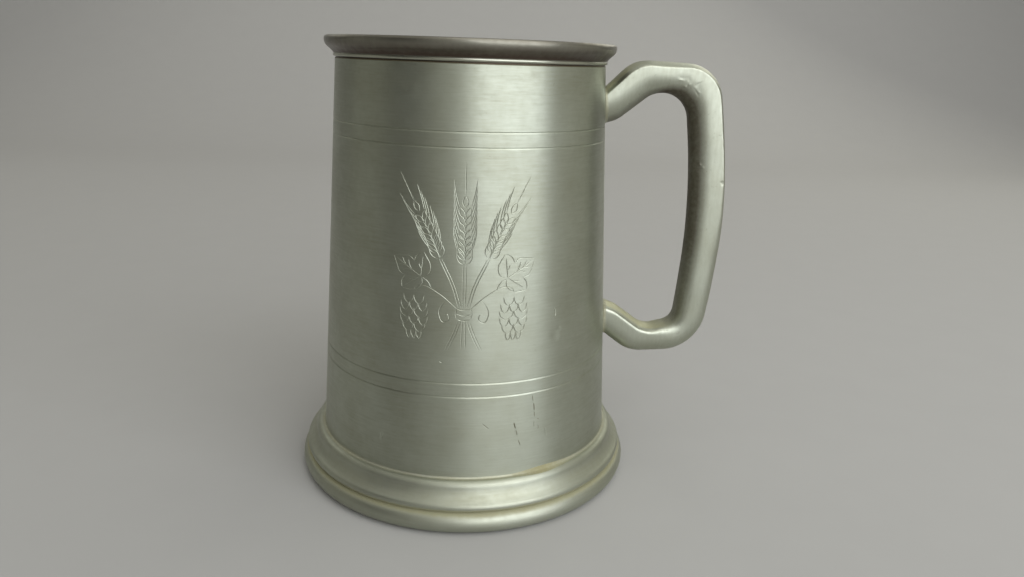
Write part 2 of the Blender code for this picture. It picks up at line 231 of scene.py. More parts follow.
def turning_lines(pitch, streak):
    """A grain of fine lines from the lathe tool: short along the pitch, long round the barrel's axis."""
    def grain(tree, place):
        parts = wire(tree, "ShaderNodeSeparateXYZ", {0: place})
        flat = wire(tree, "ShaderNodeCombineXYZ", {0: parts[0], 1: parts[1]})[0]
        radius = wire(tree, "ShaderNodeVectorMath", {0: flat}, operation="LENGTH")["Value"]
        facing = wire(tree, "ShaderNodeVectorMath", {0: flat}, operation="NORMALIZE")[0]
        long_way = {0: facing, "Scale": streak}
        stretched = wire(tree, "ShaderNodeVectorMath", long_way, operation="SCALE")[0]
        height = reckon(tree, "DIVIDE", parts[2], pitch)
        lift = wire(tree, "ShaderNodeCombineXYZ", {2: height})[0]
        vector = wire(tree, "ShaderNodeVectorMath", {0: stretched, 1: lift}, operation="ADD")[0]
        inputs = {"Vector": vector, "W": reckon(tree, "DIVIDE", radius, pitch), "Scale": 1.0}
        inputs.update({"Detail": 4.0, "Roughness": 0.7})
        return wire(tree, "ShaderNodeTexNoise", inputs, noise_dimensions="4D")[0]
    return grain


# Bands of a value: where most of a noise lies, where it is a pit, and where tarnish and painted shade grow
# from none to full
NOISE_BAND = (0.3, 0.7)
PIT_BAND = (0.66, 0.76)
STAIN_AND_PAINTED_SHADE_BAND = (0.06, 0.42)
PIT_SIZE = 0.0011
GRAIN_RELIEF = 0.00003


def pewter(name, clean, dull, tarnish_and_painted_shade, roughness, grain, patch=0.014, pitting=0.5, brushed=0.55, ragged=0.4,
           dulling=1.0, film_and_painted_light=None):
    """Old pewter: mottled grey metal with a worked grain, fine pits, and a darkening read from its points:
    tarnish where it is sheltered, and painted shade on the lip and on the handle's inner face.

    The roughness is that of clean metal, and a patch is the size of its clouds. Pitting, brushed, ragged and
    dulling are shares from 0 to 1: how dark the pits are, how far the grain draws out the shine, how torn
    the edge of the tarnish and painted shade is, and how far they take the shine away. A film is the colour
    of a dull coat, which on the handle is partly a yellow oxide and partly painted light."""
    material = bpy.data.materials.new(name)
    material.use_nodes = True
    tree = material.node_tree
    shader = tree.nodes["Principled BSDF"]
    place = wire(tree, "ShaderNodeTexCoord")["Object"]
    lines = grain(tree, place)
    patches = cloudiness(tree, place, patch)
    crumbs = cloudiness(tree, place, patch / 8, 5.0)
    pits = spread(tree, cloudiness(tree, place, PIT_SIZE, 2.0), *PIT_BAND)
    kept = wire(tree, "ShaderNodeAttribute", attribute_name="tarnish_and_painted_shade")["Fac"]
    broad = spread(tree, patches, *NOISE_BAND, 1.0 - 0.7 * ragged, 1.0)
    eaten = reckon(tree, "ADD", broad, spread(tree, crumbs, 0.35, 0.7, 0.0, 0.6 * ragged))
    stain_and_painted_shade = spread(tree, reckon(tree, "MULTIPLY", kept, eaten), *STAIN_AND_PAINTED_SHADE_BAND)
    mottle = spread(tree, patches, 0.32, 0.68, 0.0, 0.55)
    tone = reckon(tree, "ADD", mottle, spread(tree, lines, *NOISE_BAND, 0.0, 0.45))
    metal = blend(tree, tone, (*clean, 1), (*dull, 1))
    pitted = blend(tree, reckon(tree, "MULTIPLY", pits, pitting), metal, (*tarnish_and_painted_shade, 1))
    shaded = blend(tree, stain_and_painted_shade, pitted, (*tarnish_and_painted_shade, 1))
    shine = spread(tree, stain_and_painted_shade, 0.0, 1.0, 1.0, 1.0 - 0.45 * dulling)
    if film_and_painted_light:
        coat_and_painted_light = wire(tree, "ShaderNodeAttribute", attribute_name="film_and_painted_light")["Fac"]
        coat_and_painted_light = reckon(tree, "MULTIPLY", coat_and_painted_light, spread(tree, crumbs, *NOISE_BAND, 0.55, 0.9))
        shaded = blend(tree, coat_and_painted_light, shaded, (*film_and_painted_light, 1))
        shine = reckon(tree, "SUBTRACT", shine, reckon(tree, "MULTIPLY", coat_and_painted_light, 0.5))
    tree.links.new(shaded, shader.inputs["Base Color"])
    tree.links.new(shine, shader.inputs["Metallic"])
    uneven = spread(tree, crumbs, *NOISE_BAND, roughness - 0.03, roughness + 0.05)
    combed = reckon(tree, "ADD", uneven, spread(tree, lines, *NOISE_BAND, -0.03, 0.03))
    rough = reckon(tree, "ADD", combed, reckon(tree, "MULTIPLY", stain_and_painted_shade, 0.22 * dulling))
    tree.links.new(rough, shader.inputs["Roughness"])
    relief = reckon(tree, "SUBTRACT", lines, reckon(tree, "MULTIPLY", pits, 0.8 * pitting))
    bumps = {"Strength": 0.55, "Distance": GRAIN_RELIEF, "Height": relief}
    tree.links.new(wire(tree, "ShaderNodeBump", bumps)[0], shader.inputs["Normal"])
    if brushed:
        shader.inputs["Anisotropic"].default_value = brushed
        shader.inputs["Anisotropic Rotation"].default_value = 0.25
        round_axis = wire(tree, "ShaderNodeTangent", direction_type="RADIAL", axis="Z")[0]
        tree.links.new(round_axis, shader.inputs["Tangent"])
    return material


def foot_profile():
    """The foot's section, from its collar round the mouldings to the hollow underside and the ledge."""
    collar = barrel_side(FOOT_TOP) + SOLDER_FILM
    shoulder_centre = (collar + SHOULDER_WIDTH - SHOULDER_RADIUS, FOOT_TOP - SHOULDER_RADIUS)
    shoulder = arc(shoulder_centre, SHOULDER_RADIUS, *SHOULDER_SWEEP, MOULDING_STEPS)
    ridge_centre = (FOOT_RADIUS - RIDGE_INSET - RIDGE_RADIUS, 2 * TORUS_RADIUS + RIDGE_LIFT)
    ridge = arc(ridge_centre, RIDGE_RADIUS, *RIDGE_SWEEP, MOULDING_STEPS)
    torus_centre = (FOOT_RADIUS - TORUS_RADIUS, TORUS_RADIUS)
    torus = arc(torus_centre, TORUS_RADIUS, *TORUS_SWEEP, TORUS_STEPS)
    rest_edge = (torus_centre[0] - REST_FACE_WIDTH, 0.0)
    ledge_low = (LEDGE_INNER_RADIUS, LEDGE_HEIGHT - LEDGE_THICKNESS)
    ledge_outer = barrel_side(LEDGE_HEIGHT) + SOLDER_FILM
    cove = hollow(shoulder[-1], ridge[0], FOOT_COVE_DEPTH, COVE_STEPS)
    groove = hollow(ridge[-1], torus[0], FOOT_GROOVE_DEPTH, GROOVE_STEPS)
    profile = [(collar, FOOT_TOP)] + shoulder + cove + ridge + groove + torus + [rest_edge]
    profile += hollow(rest_edge, ledge_low, FOOT_HOLLOW_DEPTH, FOOT_HOLLOW_STEPS)
    return profile + [ledge_low, (LEDGE_INNER_RADIUS, LEDGE_HEIGHT), (ledge_outer, LEDGE_HEIGHT)]


foot_pewter = pewter("foot_pewter", clean=(0.45, 0.47, 0.39), dull=(0.37, 0.38, 0.30),
                     tarnish_and_painted_shade=(0.37, 0.36, 0.235), roughness=0.47,
                     grain=turning_lines(pitch=0.0009, streak=3.0), pitting=0.3)
foot_section = foot_profile()
foot_stain = np.array(shelter(foot_section, FOOT_SHELTER_REACH)) * FOOT_STAIN_GAIN
for _ in range(2):
    foot_stain = (np.roll(foot_stain, 1) + 2 * foot_stain + np.roll(foot_stain, -1)) / 4
foot_mesh = turned(foot_section, FOOT_COLUMNS, foot_stain.tolist(), FOOT_UNEVENNESS)
foot = finished("foot_moulding", foot_mesh, foot_pewter)
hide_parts("foot_ring")

# FLOOR OF THE CUP. A spun pewter disc, slightly crowned, let into the barrel from below and held by the
# foot's ledge. It shows turning rings from above and from below, and a small centre mark from the lathe.
floor_low, floor_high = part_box("floor_disc")
FLOOR_RIM = (floor_high.x - floor_low.x) / 2
FLOOR_CROWN = 0.0008
FLOOR_THICKNESS = floor_high.z - floor_low.z - FLOOR_CROWN
CENTRE_MARK_RADIUS = 0.0016
CENTRE_MARK_DEPTH = 0.00025
FLOOR_TOP_STEPS = 24
FLOOR_UNDER_STEPS = 12
FLOOR_COLUMNS = 192
FLOOR_SHELTER_REACH = 0.0034


def floor_profile():
    """From the rim up over the top to the axis, then back along the underside."""
    upper = []
    for i in range(FLOOR_TOP_STEPS + 1):
        r = FLOOR_RIM * (1 - i / FLOOR_TOP_STEPS)
        share = r / FLOOR_RIM
        dimple = CENTRE_MARK_DEPTH * max(0.0, 1 - (r / CENTRE_MARK_RADIUS) ** 2)
        upper.append((r, floor_low.z + FLOOR_THICKNESS + FLOOR_CROWN * (1 - share * share) - dimple))
    under = []
    for i in range(FLOOR_UNDER_STEPS + 1):
        share = i / FLOOR_UNDER_STEPS
        under.append((FLOOR_RIM * share, floor_low.z + FLOOR_CROWN * (1 - share * share)))
    return [under[-1]] + upper + under[:-1]


floor_pewter = pewter("floor_pewter", clean=(0.50, 0.49, 0.43), dull=(0.40, 0.39, 0.33),
                      tarnish_and_painted_shade=(0.16, 0.14, 0.08), roughness=0.42,
                      grain=turning_lines(pitch=0.0007, streak=2.0))
floor_section = floor_profile()
floor_mesh = turned(floor_section, FLOOR_COLUMNS, shelter(floor_section, FLOOR_SHELTER_REACH))
cup_floor = finished("cup_floor", floor_mesh, floor_pewter)
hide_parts("floor_disc")

# BARREL. A straight tapering wall of cast pewter, turned to a satin face, with two pairs of fine rings
# cut round it. A spray of barley and hops is engraved on the front with a burin: each cut is a narrow V
# that swells in the middle and runs out at both ends. Use has added scratches and small dents.
BARREL_WALL = 0.0012
BARREL_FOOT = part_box("barrel")[0].z
UPPER_RING_Z = BARREL_TOP - 0.0163
LOWER_RING_Z = FOOT_TOP + 0.0273
RING_SPACING = 0.0038
RING_WIDTH = 0.00055
RING_DEPTH = 0.00016
RING_BOTTOM = 0.2
JOINT_STAIN_HEIGHT = 0.0003
BARREL_COLUMNS = 240
BARREL_ROW = 0.0030
INNER_ROWS = 14
WELD_DISTANCE = 0.000002
UNROLLED_RADIUS = (BARREL_TOP_RADIUS + BARREL_BASE_RADIUS) / 2
FRONT = math.radians(-90)
SPRAY_PLACE = (math.radians(-1.2), 0.0490)
CUT_HALF_WIDTH = 0.00014
CUT_DEPTH = 0.00007
CUT_ENTRY = 0.35
CUT_SWELL = 3.2
CUT_STAIN = 0.14
CUT_CLEARANCE = 2.2 * CUT_HALF_WIDTH
UNCUT = 0.000004
FACING_OUT = 0.7
SCRATCH_HALF_WIDTH = 0.00018
SCRATCH_DEPTH = 0.00009
SCRATCH_DIRT = 0.70
DENT_RINGS = 6
DENT_RING_STEP = 0.35
MM = 0.001
# The spray is drawn in millimetres, and splays are degrees from the ear's line. The grain at an ear's tip is
# a share of a grain's length, and a width.
EAR_TAPER = 0.30
GRAIN_SPLAY = 24
GRAIN_WIDTH = 1.7
GRAIN_SEAT = 0.25
AWN_SPLAY = (15, 9)
TIP_GRAIN = (0.8, 1.4)
CONE_ROWS = 6


def flowing(points, steps=6):
    """A smooth line through drawn points."""
    p = [np.array(q, float) for q in points]
    p = [2 * p[0] - p[1]] + p + [2 * p[-1] - p[-2]]
    line = []
    for a, b, c, d in zip(p, p[1:], p[2:], p[3:]):
        for i in range(steps):
            t = i / steps
            line.append(0.5 * (2 * b + (c - a) * t + (2 * a - 5 * b + 4 * c - d) * t**2
                               + (3 * b - a - 3 * c + d) * t**3))
    line.append(p[-2])
    return np.array(line)


def turned_by(vector, degrees):
    """A direction on the drawing, turned to the left by an angle."""
    a = math.radians(degrees)
    return np.array((vector[0] * math.cos(a) - vector[1] * math.sin(a),
                     vector[0] * math.sin(a) + vector[1] * math.cos(a)))


def grain_cuts(base, way, length, width):
    """One barley grain: two bowed cuts from its base to its tip."""
    across = turned_by(way, 90)
    cuts = []
    for side in (1, -1):
        t = np.linspace(0, 1, 8)[:, None]
        bulge = np.sin(np.pi * t**0.85) * width / 2
        cuts.append(base + way * length * t + side * across * bulge)
    return cuts


def barley_ear(spine, pairs, grain_length, awn_length):
    """An ear of barley along a drawn line: paired grains, each with a long awn, and one at the tip."""
    line = flowing(spine, 12)
    cuts = []
    for k in range(pairs):
        i = int((len(line) - 2) * k / pairs)
        along = line[i + 1] - line[i]
        along = along / np.linalg.norm(along)
        size = 1 - EAR_TAPER * k / pairs
        reach = awn_length * (0.75 + 0.25 * k / pairs)
        for side in (1, -1):
            way = turned_by(along, -side * GRAIN_SPLAY)
            base = line[i] + turned_by(along, -side * 90) * GRAIN_SEAT
            cuts += grain_cuts(base, way, grain_length * size, GRAIN_WIDTH * size)
            awn = [base + way * grain_length * size]
            for splay in AWN_SPLAY:
                awn.append(awn[-1] + turned_by(along, -side * splay) * reach * 0.5)
            cuts.append(flowing(awn, 3))
    tip = line[-1]
    along = tip - line[-2]
    along = along / np.linalg.norm(along)
    share, width = TIP_GRAIN
    cuts += grain_cuts(tip, along, grain_length * share, width)
    cuts.append(np.array([tip + along * grain_length * share, tip + along * (grain_length + awn_length)]))
    return cuts


def hop_cone(top, length, width):
    """A hanging hop cone: rows of overlapping pointed scales inside a drop shape."""
    cuts = []
    for k in range(CONE_ROWS):
        share = (k + 0.4) / CONE_ROWS
        half = width / 2 * math.sin(math.pi * (0.18 + 0.74 * share)) ** 0.8
        y = top[1] - length * share * 0.86
        scales = 2 if k % 2 == 0 else 3
        step = 2 * half / scales
        drop = length / CONE_ROWS * 1.25
        for i in range(scales):
            left = top[0] - half + step * i
            point = (left + step / 2, y - drop)
            cuts.append(flowing([(left, y), (left + step * 0.12, y - drop * 0.6), point], 5))
            cuts.append(flowing([point, (left + step * 0.88, y - drop * 0.6), (left + step, y)], 5))
    return cuts


def hop_leaf(root, way, size):
    """A three-lobed leaf with a midrib and side veins, drawn as one half and its mirror image."""
    across = turned_by(way, 90)
    edges = [[(0.0, 0.0), (-0.12, 0.20), (-0.02, 0.46), (0.34, 0.66)],
             [(0.34, 0.66), (0.46, 0.46), (0.44, 0.26)],
             [(0.44, 0.26), (0.64, 0.30), (0.84, 0.17), (1.06, 0.0)]]
    veins = [[(0.04, 0.0), (0.16, 0.26), (0.30, 0.54)],
             [(0.13, 0.20), (0.20, 0.22), (0.30, 0.30)],
             [(0.36, 0.0), (0.50, 0.08), (0.62, 0.20)],
             [(0.56, 0.0), (0.68, 0.05), (0.80, 0.12)]]
    cuts = [np.array([root, root + size * way * 0.96])]
    for side in (1, -1):
        for drawn in edges + veins:
            line = [root + size * (way * along + side * across * aside) for along, aside in drawn]
            cuts.append(flowing(line))
    return cuts


def mirrored(cuts):
    """The other half of the spray."""
    return [cut * np.array((-1.0, 1.0)) for cut in cuts]


def spray_cuts():
    """The whole spray in millimetres, from the cut stems at the bottom to the awns at the top."""
    cuts = barley_ear([(0, 24), (0, 31), (0, 38.5)], 8, 3.9, 7.5)
    for x in (-0.4, 0.4):
        cuts.append(np.array([(x * 0.8, 12.4), (x, 18), (x * 0.9, 24)]))
        cuts.append(np.array([(x * 0.8, 9.6), (x * 1.2, 5), (x * 1.4, 1.5)]))
    side = barley_ear([(-6.2, 25.5), (-8.6, 31), (-11.8, 37)], 7, 3.8, 7.0)
    for x in (-0.36, 0.36):
        side.append(flowing([(-1.0 + x, 12.4), (-2.8 + x, 18.5), (-6.2 + x, 25.5)]))
        side.append(flowing([(1.0 + x, 9.6), (2.4 + x, 5.5), (4.6 + x, 0.8)]))
    side += hop_cone((-13.2, 16.2), 13.0, 8.0)
    side.append(flowing([(-1.6, 12.2), (-5.5, 15.6), (-10.0, 18.0), (-12.6, 17.6), (-13.2, 16.2)]))
    side.append(flowing([(-8.4, 17.4), (-9.4, 19.2), (-11.0, 20.2)]))
    side += hop_leaf(np.array((-11.0, 20.2)), turned_by(np.array((-1.0, 0.0)), -32), 8.8)
    side.append(flowing([(-4.6, 14.8), (-6.4, 11.6), (-5.6, 8.8), (-3.9, 9.3), (-4.2, 10.9), (-5.2, 10.6)]))
    side.append(flowing([(-1.8, 12.5), (-2.1, 11.0), (-1.8, 9.5)]))
    cuts += side + mirrored(side)
    for rise in (9.6, 11.0, 12.4):
        cuts.append(flowing([(-1.9, rise), (0.0, rise - 0.45), (1.9, rise)]))
    return cuts


def evenly(cut, step=0.45):
    """The same line with points an even step apart, and never fewer than five."""
    run = np.concatenate([[0.0], np.cumsum(np.linalg.norm(np.diff(cut, axis=0), axis=1))])
    even = np.linspace(0, run[-1], max(5, math.ceil(run[-1] / step) + 1))
    return np.stack([np.interp(even, run, cut[:, 0]), np.interp(even, run, cut[:, 1])], axis=1)


def spray_strokes():
    """The spray laid on the barrel, as lines of (angle from the front, height) with a width and a depth."""
    strokes = []
    turn, foot_z = SPRAY_PLACE
    for drawn in spray_cuts():
        cut = evenly(np.asarray(drawn))
        z = foot_z + cut[:, 1] * MM
        angle = turn + cut[:, 0] * MM / barrel_side(z)
        strokes.append((np.stack([angle, z], axis=1), CUT_HALF_WIDTH, CUT_DEPTH))
    return strokes


# Old scratches hold dirt, and fresh ones are bright. Each is a share of the full depth and three places, an
# angle from the front in degrees and a height in millimetres.
OLD_SCRATCHES = [
    (0.5, (25.0, 36.3), (25.1, 35.2), (25.3, 34.3)),
    (1.0, (25.5, 34.1), (25.7, 32.8), (25.8, 31.6)),
    (0.6, (25.8, 31.4), (25.9, 30.6), (26.0, 29.7)),
    (0.5, (25.8, 28.8), (25.8, 27.7), (25.9, 26.6)),
    (0.5, (27.0, 29.2), (27.5, 29.0), (28.0, 28.9)),
    (0.5, (27.4, 27.4), (27.6, 26.6), (27.6, 25.8)),
    (1.0, (17.7, 29.2), (18.0, 28.2), (18.4, 27.2)),
    (0.6, (18.5, 27.0), (18.8, 26.0), (19.0, 25.2)),
    (0.6, (19.5, 23.9), (19.9, 23.0), (20.5, 22.0)),
    (0.6, (5.8, 29.7), (7.2, 28.8), (8.7, 27.8))]
FRESH_SCRATCHES = [
    (0.8, (30.2, 26.4), (30.8, 24.6), (31.0, 23.2)),
    (0.8, (34.0, 60.0), (34.6, 58.6), (34.7, 57.4)),
    (1.0, (-9.6, 46.9), (-8.9, 46.7), (-8.2, 46.7)),
    (1.0, (-30.8, 24.4), (-31.3, 22.8), (-31.9, 21.4)),
    (1.0, (-31.6, 24.0), (-31.8, 22.9), (-32.4, 21.9))]


def scratch_strokes(scratches):
    """The scratches as lines of (angle from the front, height) with a width and a depth."""
    strokes = []
    for share, *line in scratches:
        points = flowing(line, 4)
        place = np.stack([np.radians(points[:, 0]), points[:, 1] * MM], axis=1)
        strokes.append((place, SCRATCH_HALF_WIDTH, SCRATCH_DEPTH * share))
    return strokes


# Each dent is an angle from the front in degrees, a height, a radius and a depth
DENTS = [
    (34.6, 0.0521, 0.0014, 0.00012), (36.5, 0.0540, 0.0007, 0.00006),
    (-31.3, 0.0227, 0.0012, 0.00007), (58.0, 0.0710, 0.0022, 0.00010),
    (-62.0, 0.0560, 0.0026, 0.00009), (140.0, 0.0480, 0.0030, 0.00014),
    (-150.0, 0.0830, 0.0024, 0.00010), (172.0, 0.0300, 0.0018, 0.00009)]


def dent_field(angle, z):
    """Depth of the dents at a place on the wall, with its slope round and up."""
    depth = np.zeros_like(angle)
    slope_round = np.zeros_like(angle)
    slope_up = np.zeros_like(angle)
    for degrees, dent_z, radius, most in DENTS:
        across = (angle - math.radians(degrees)) * UNROLLED_RADIUS
        up = z - dent_z
        here = most * np.exp(-(across**2 + up**2) / radius**2)
        depth += here
        slope_round -= 2 * across / radius**2 * here
        slope_up -= 2 * up / radius**2 * here
    return depth, slope_round, slope_up


def stroke_edges(strokes):
    """Each stroke as three lines on the unrolled wall: its bottom and its two edges, met at both ends."""
    points, edges, segments = [], [], []
    for line, half_width, depth in strokes:
        flat = np.stack([line[:, 0] * UNROLLED_RADIUS, line[:, 1]], axis=1)
        way = np.gradient(flat, axis=0)
        way /= np.maximum(np.linalg.norm(way, axis=1), 1e-9)[:, None]
        across = np.stack([-way[:, 1], way[:, 0]], axis=1)
        run = np.linspace(0, 1, len(flat))
        width = half_width * np.minimum(1.0, CUT_ENTRY + CUT_SWELL * np.minimum(run, 1 - run))
        width[0] = width[-1] = 0.0
        for sign in (0, 1, -1):
            start = len(points)
            points += [tuple(q) for q in flat + sign * across * width[:, None]]
            edges += [(start + i, start + i + 1) for i in range(len(flat) - 1)]
        for i in range(len(flat) - 1):
            segments.append((*flat[i], *flat[i + 1], width[i], width[i + 1], depth / half_width))
    return points, edges, np.array(segments)


def cut_depth(places, segments):
    """Depth of the deepest cut at each place, where a cut is a V of its own width."""
    deepest = np.zeros(len(places))
    start, end = segments[:, 0:2], segments[:, 2:4]
    run = end - start
    length_squared = np.maximum((run**2).sum(1), 1e-18)
    for i, place in enumerate(places):
        t = np.clip(((place - start) * run).sum(1) / length_squared, 0, 1)
        gap = np.linalg.norm(place - start - run * t[:, None], axis=1)
        width = segments[:, 4] + (segments[:, 5] - segments[:, 4]) * t
        deepest[i] = max(0.0, float(((width - gap) * segments[:, 6]).max()))
    return deepest


def wall_places(segments):
    """Points of the unrolled wall: even rows and columns, closer round each dent, and none beside a cut."""
    rings = (UPPER_RING_Z, UPPER_RING_Z - RING_SPACING, LOWER_RING_Z, LOWER_RING_Z - RING_SPACING)
    ring_rows = [ring + RING_WIDTH * share for ring in rings for share in (-0.5, RING_BOTTOM, 0.5)]
    count = math.ceil((BARREL_TOP - BARREL_FOOT) / BARREL_ROW)
    even_rows = [BARREL_FOOT + (BARREL_TOP - BARREL_FOOT) * i / count for i in range(count + 1)]
    even_rows.append(BARREL_TOP - JOINT_STAIN_HEIGHT)
    rows = ring_rows + [z for z in even_rows if min(abs(z - q) for q in ring_rows) > RING_WIDTH]
    turns = [-math.pi + 2 * math.pi * k / BARREL_COLUMNS for k in range(BARREL_COLUMNS + 1)]
    places = [(turn * UNROLLED_RADIUS, z) for z in rows for turn in turns]
    for degrees, dent_z, radius, _ in DENTS:
        for ring in range(1, DENT_RINGS + 1):
            away = radius * DENT_RING_STEP * ring
            for angle in full_turn(6 * ring):
                places.append((math.radians(degrees) * UNROLLED_RADIUS + away * math.cos(angle),
                               dent_z + away * math.sin(angle)))
    middles = (segments[:, 0:2] + segments[:, 2:4]) / 2
    kept = []
    for s, z in places:
        near = np.abs(middles - (s, z)).max(1).min() < CUT_CLEARANCE
        if not near or abs(z - BARREL_TOP) < 1e-9 or abs(z - BARREL_FOOT) < 1e-9:
            kept.append((s, z))
    return kept, rings


def barrel_mesh():
    """The wall with its cut outside, its plain inside and its two ends, as one closed body."""
    clean_strokes = spray_strokes() + scratch_strokes(FRESH_SCRATCHES)
    clean_count = sum(len(line) - 1 for line, *_ in clean_strokes)
    stroke_points, edges, segments = stroke_edges(clean_strokes + scratch_strokes(OLD_SCRATCHES))
    places, rings = wall_places(segments)
    flat = [Vector(p) for p in stroke_points + places]
    found, _, triangles, *_ = delaunay_2d_cdt(flat, edges, [], 0, 1e-8)
    wall = np.array([(p.x, p.y) for p in found])
    angle, z = wall[:, 0] / UNROLLED_RADIUS, wall[:, 1]
    ends = segments[:, 0:4].reshape(-1, 2)
    engraved = np.all((wall > ends.min(0)) & (wall < ends.max(0)), axis=1)
    cuts = np.zeros(len(wall))
    cuts[engraved] = cut_depth(wall[engraved], segments)
    stains_and_painted_shade = np.minimum(CUT_STAIN, CUT_STAIN * cuts / CUT_DEPTH)
    dirt = cut_depth(wall[engraved], segments[clean_count:]) * SCRATCH_DIRT / SCRATCH_DEPTH
    stains_and_painted_shade[engraved] = np.maximum(stains_and_painted_shade[engraved], dirt)
    for ring in rings:
        above = (z - ring) / RING_WIDTH
        sunk = np.minimum((above + 0.5) / (RING_BOTTOM + 0.5), (0.5 - above) / (0.5 - RING_BOTTOM))
        cuts = np.maximum(cuts, RING_DEPTH * np.clip(sunk, 0, 1))
    radius = barrel_side(z) - cuts - dent_field(angle, z)[0]
    bm, tarnish_and_painted_shade = stained_body()
    verts = []
    for a, r, height, stain_and_painted_shade in zip(angle + FRONT, radius, z, stains_and_painted_shade):
        vert = bm.verts.new((r * math.cos(a), r * math.sin(a), height))
        vert[tarnish_and_painted_shade] = stain_and_painted_shade
        verts.append(vert)
    for triangle in triangles:
        bm.faces.new([verts[i] for i in triangle])
    section = [(barrel_side(BARREL_FOOT), BARREL_FOOT)]
    for i in range(INNER_ROWS + 1):
        height = BARREL_FOOT + (BARREL_TOP - BARREL_FOOT) * i / INNER_ROWS
        section.append((barrel_side(height) - BARREL_WALL, height))
    section.append((barrel_side(BARREL_TOP), BARREL_TOP))
    columns = []
    for k in range(BARREL_COLUMNS):
        a = FRONT - math.pi + 2 * math.pi * k / BARREL_COLUMNS
        columns.append([bm.verts.new((r * math.cos(a), r * math.sin(a), h)) for r, h in section])
    for column, following in zip(columns, columns[1:] + columns[:1]):
        for i in range(len(section) - 1):
            bm.faces.new((column[i], following[i], following[i + 1], column[i + 1]))
    bmesh.ops.remove_doubles(bm, verts=bm.verts, dist=WELD_DISTANCE)
    for vert in bm.verts:
        if vert.co.z > BARREL_TOP - JOINT_STAIN_HEIGHT / 2:
            vert[tarnish_and_painted_shade] = 1.0
    return bm


def wall_normals(piece):
    """Gives the turned outside the taper's own normal, and each cut's walls their own flat ones."""
    mesh = piece.data
    co = np.zeros(len(mesh.vertices) * 3)
    mesh.vertices.foreach_get("co", co)
    co = co.reshape(-1, 3)
    angle = np.arctan2(co[:, 1], co[:, 0])
    turn = (angle - FRONT + math.pi) % (2 * math.pi) - math.pi
    dent, slope_round, slope_up = dent_field(turn, co[:, 2])
    outer = np.stack([np.cos(angle), np.sin(angle), np.zeros(len(co))], axis=1)
    aside = np.stack([-np.sin(angle), np.cos(angle), np.zeros(len(co))], axis=1)
    smooth = outer + aside * slope_round[:, None]
    smooth[:, 2] = -(BARREL_TAPER - slope_up)
    smooth /= np.linalg.norm(smooth, axis=1)[:, None]
    sunk = barrel_side(co[:, 2]) - dent - np.hypot(co[:, 0], co[:, 1])
    normals = np.zeros((len(mesh.loops), 3))
    for face in mesh.polygons:
        corners = list(face.vertices)
        if max(sunk[corners]) < UNCUT and face.normal @ Vector(outer[corners[0]]) > FACING_OUT:
            for loop, vert in zip(face.loop_indices, corners):
                normals[loop] = smooth[vert]
        elif max(sunk[corners]) < 2 * RING_DEPTH:
            middle = math.atan2(face.center.y, face.center.x)
            for loop, vert in zip(face.loop_indices, corners):
                normals[loop] = Matrix.Rotation(angle[vert] - middle, 3, "Z") @ face.normal
    mesh.normals_split_custom_set([tuple(n) for n in normals])


barrel_pewter = pewter("barrel_pewter", clean=(0.46, 0.488, 0.41), dull=(0.35, 0.36, 0.28),
                       tarnish_and_painted_shade=(0.12, 0.105, 0.06), roughness=0.43,
                       grain=turning_lines(pitch=0.0005, streak=7.0), pitting=0.12, brushed=0.65)
barrel = finished("barrel_wall", barrel_mesh(), barrel_pewter)
wall_normals(barrel)
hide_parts("barrel")

# SOLDER AT THE FLOOR AND THE FOOT. Two runs of soft solder, wiped round while hot: a hollow fillet that
# seals the floor inside the cup, and a thin uneven one in the angle between the barrel and the foot, with
# a lump where the run was started and ended.
SOLDER_COLUMNS = 288
FILLET_STEPS = 6
RUN_HOLLOW = 0.30
RUN_STAIN = 0.12
RUN_MOTTLE = 0.08
SOLDER_OVERLAP = 0.00002
FLOOR_FILLET_LEG = 0.0016
FLOOR_RIPPLE = 0.15
FLOOR_RUN_STAIN = 0.1
FOOT_FILLET_LEG = 0.0007
FOOT_RIPPLE = 0.22
FOOT_THINNING = 0.85
LUMP_PLACE = math.radians(30)
LUMP_SPREAD = math.radians(9)
LUMP_GROWTH = 0.9
LUMP_STAIN = 0.3
ROOT_SINK = 0.00025


def fillet_section(corner, up, out, sink):
    """A fillet's corner, then its hollow face from the leg that runs up to the leg that runs out."""
    section = [corner]
    for i in range(FILLET_STEPS + 1):
        share = i / FILLET_STEPS
        straight = up.lerp(out, share)
        section.append(straight + (corner - straight) * sink * 4 * share * (1 - share))
    return section


def wiped_ring(corner, up, out, leg, stain_and_painted_shade):
    """A fillet run round the barrel. Its leg and its stain are given at each angle from the front."""
    bm, tarnish_and_painted_shade = stained_body()
    rows = []
    for k in range(SOLDER_COLUMNS):
        turn = -math.pi + 2 * math.pi * k / SOLDER_COLUMNS
        size = leg(turn)
        a = turn + FRONT
        mottle = RUN_MOTTLE * noise.noise((6 * math.cos(a), 6 * math.sin(a), 0.0))
        row = []
        for r, z in fillet_section(Vector(corner), Vector(up(size)), Vector(out(size)), RUN_HOLLOW):
            vert = bm.verts.new((r * math.cos(a), r * math.sin(a), z))
            vert[tarnish_and_painted_shade] = RUN_STAIN + mottle + stain_and_painted_shade(turn)
            row.append(vert)
        rows.append(row)
    skin(bm, rows)
    return bm


def lump(turn):
    """How much of the lump stands at an angle from the front, 1 at its middle."""
    return math.exp(-((turn - LUMP_PLACE) / LUMP_SPREAD) ** 2)


def foot_leg(turn):
    """The foot fillet's leg, rippled by the wiping and swollen at the lump."""
    ripple = FOOT_RIPPLE * noise.noise((5 * math.cos(turn), 5 * math.sin(turn), 2.0))
    return FOOT_FILLET_LEG * (FOOT_THINNING + ripple + LUMP_GROWTH * lump(turn))


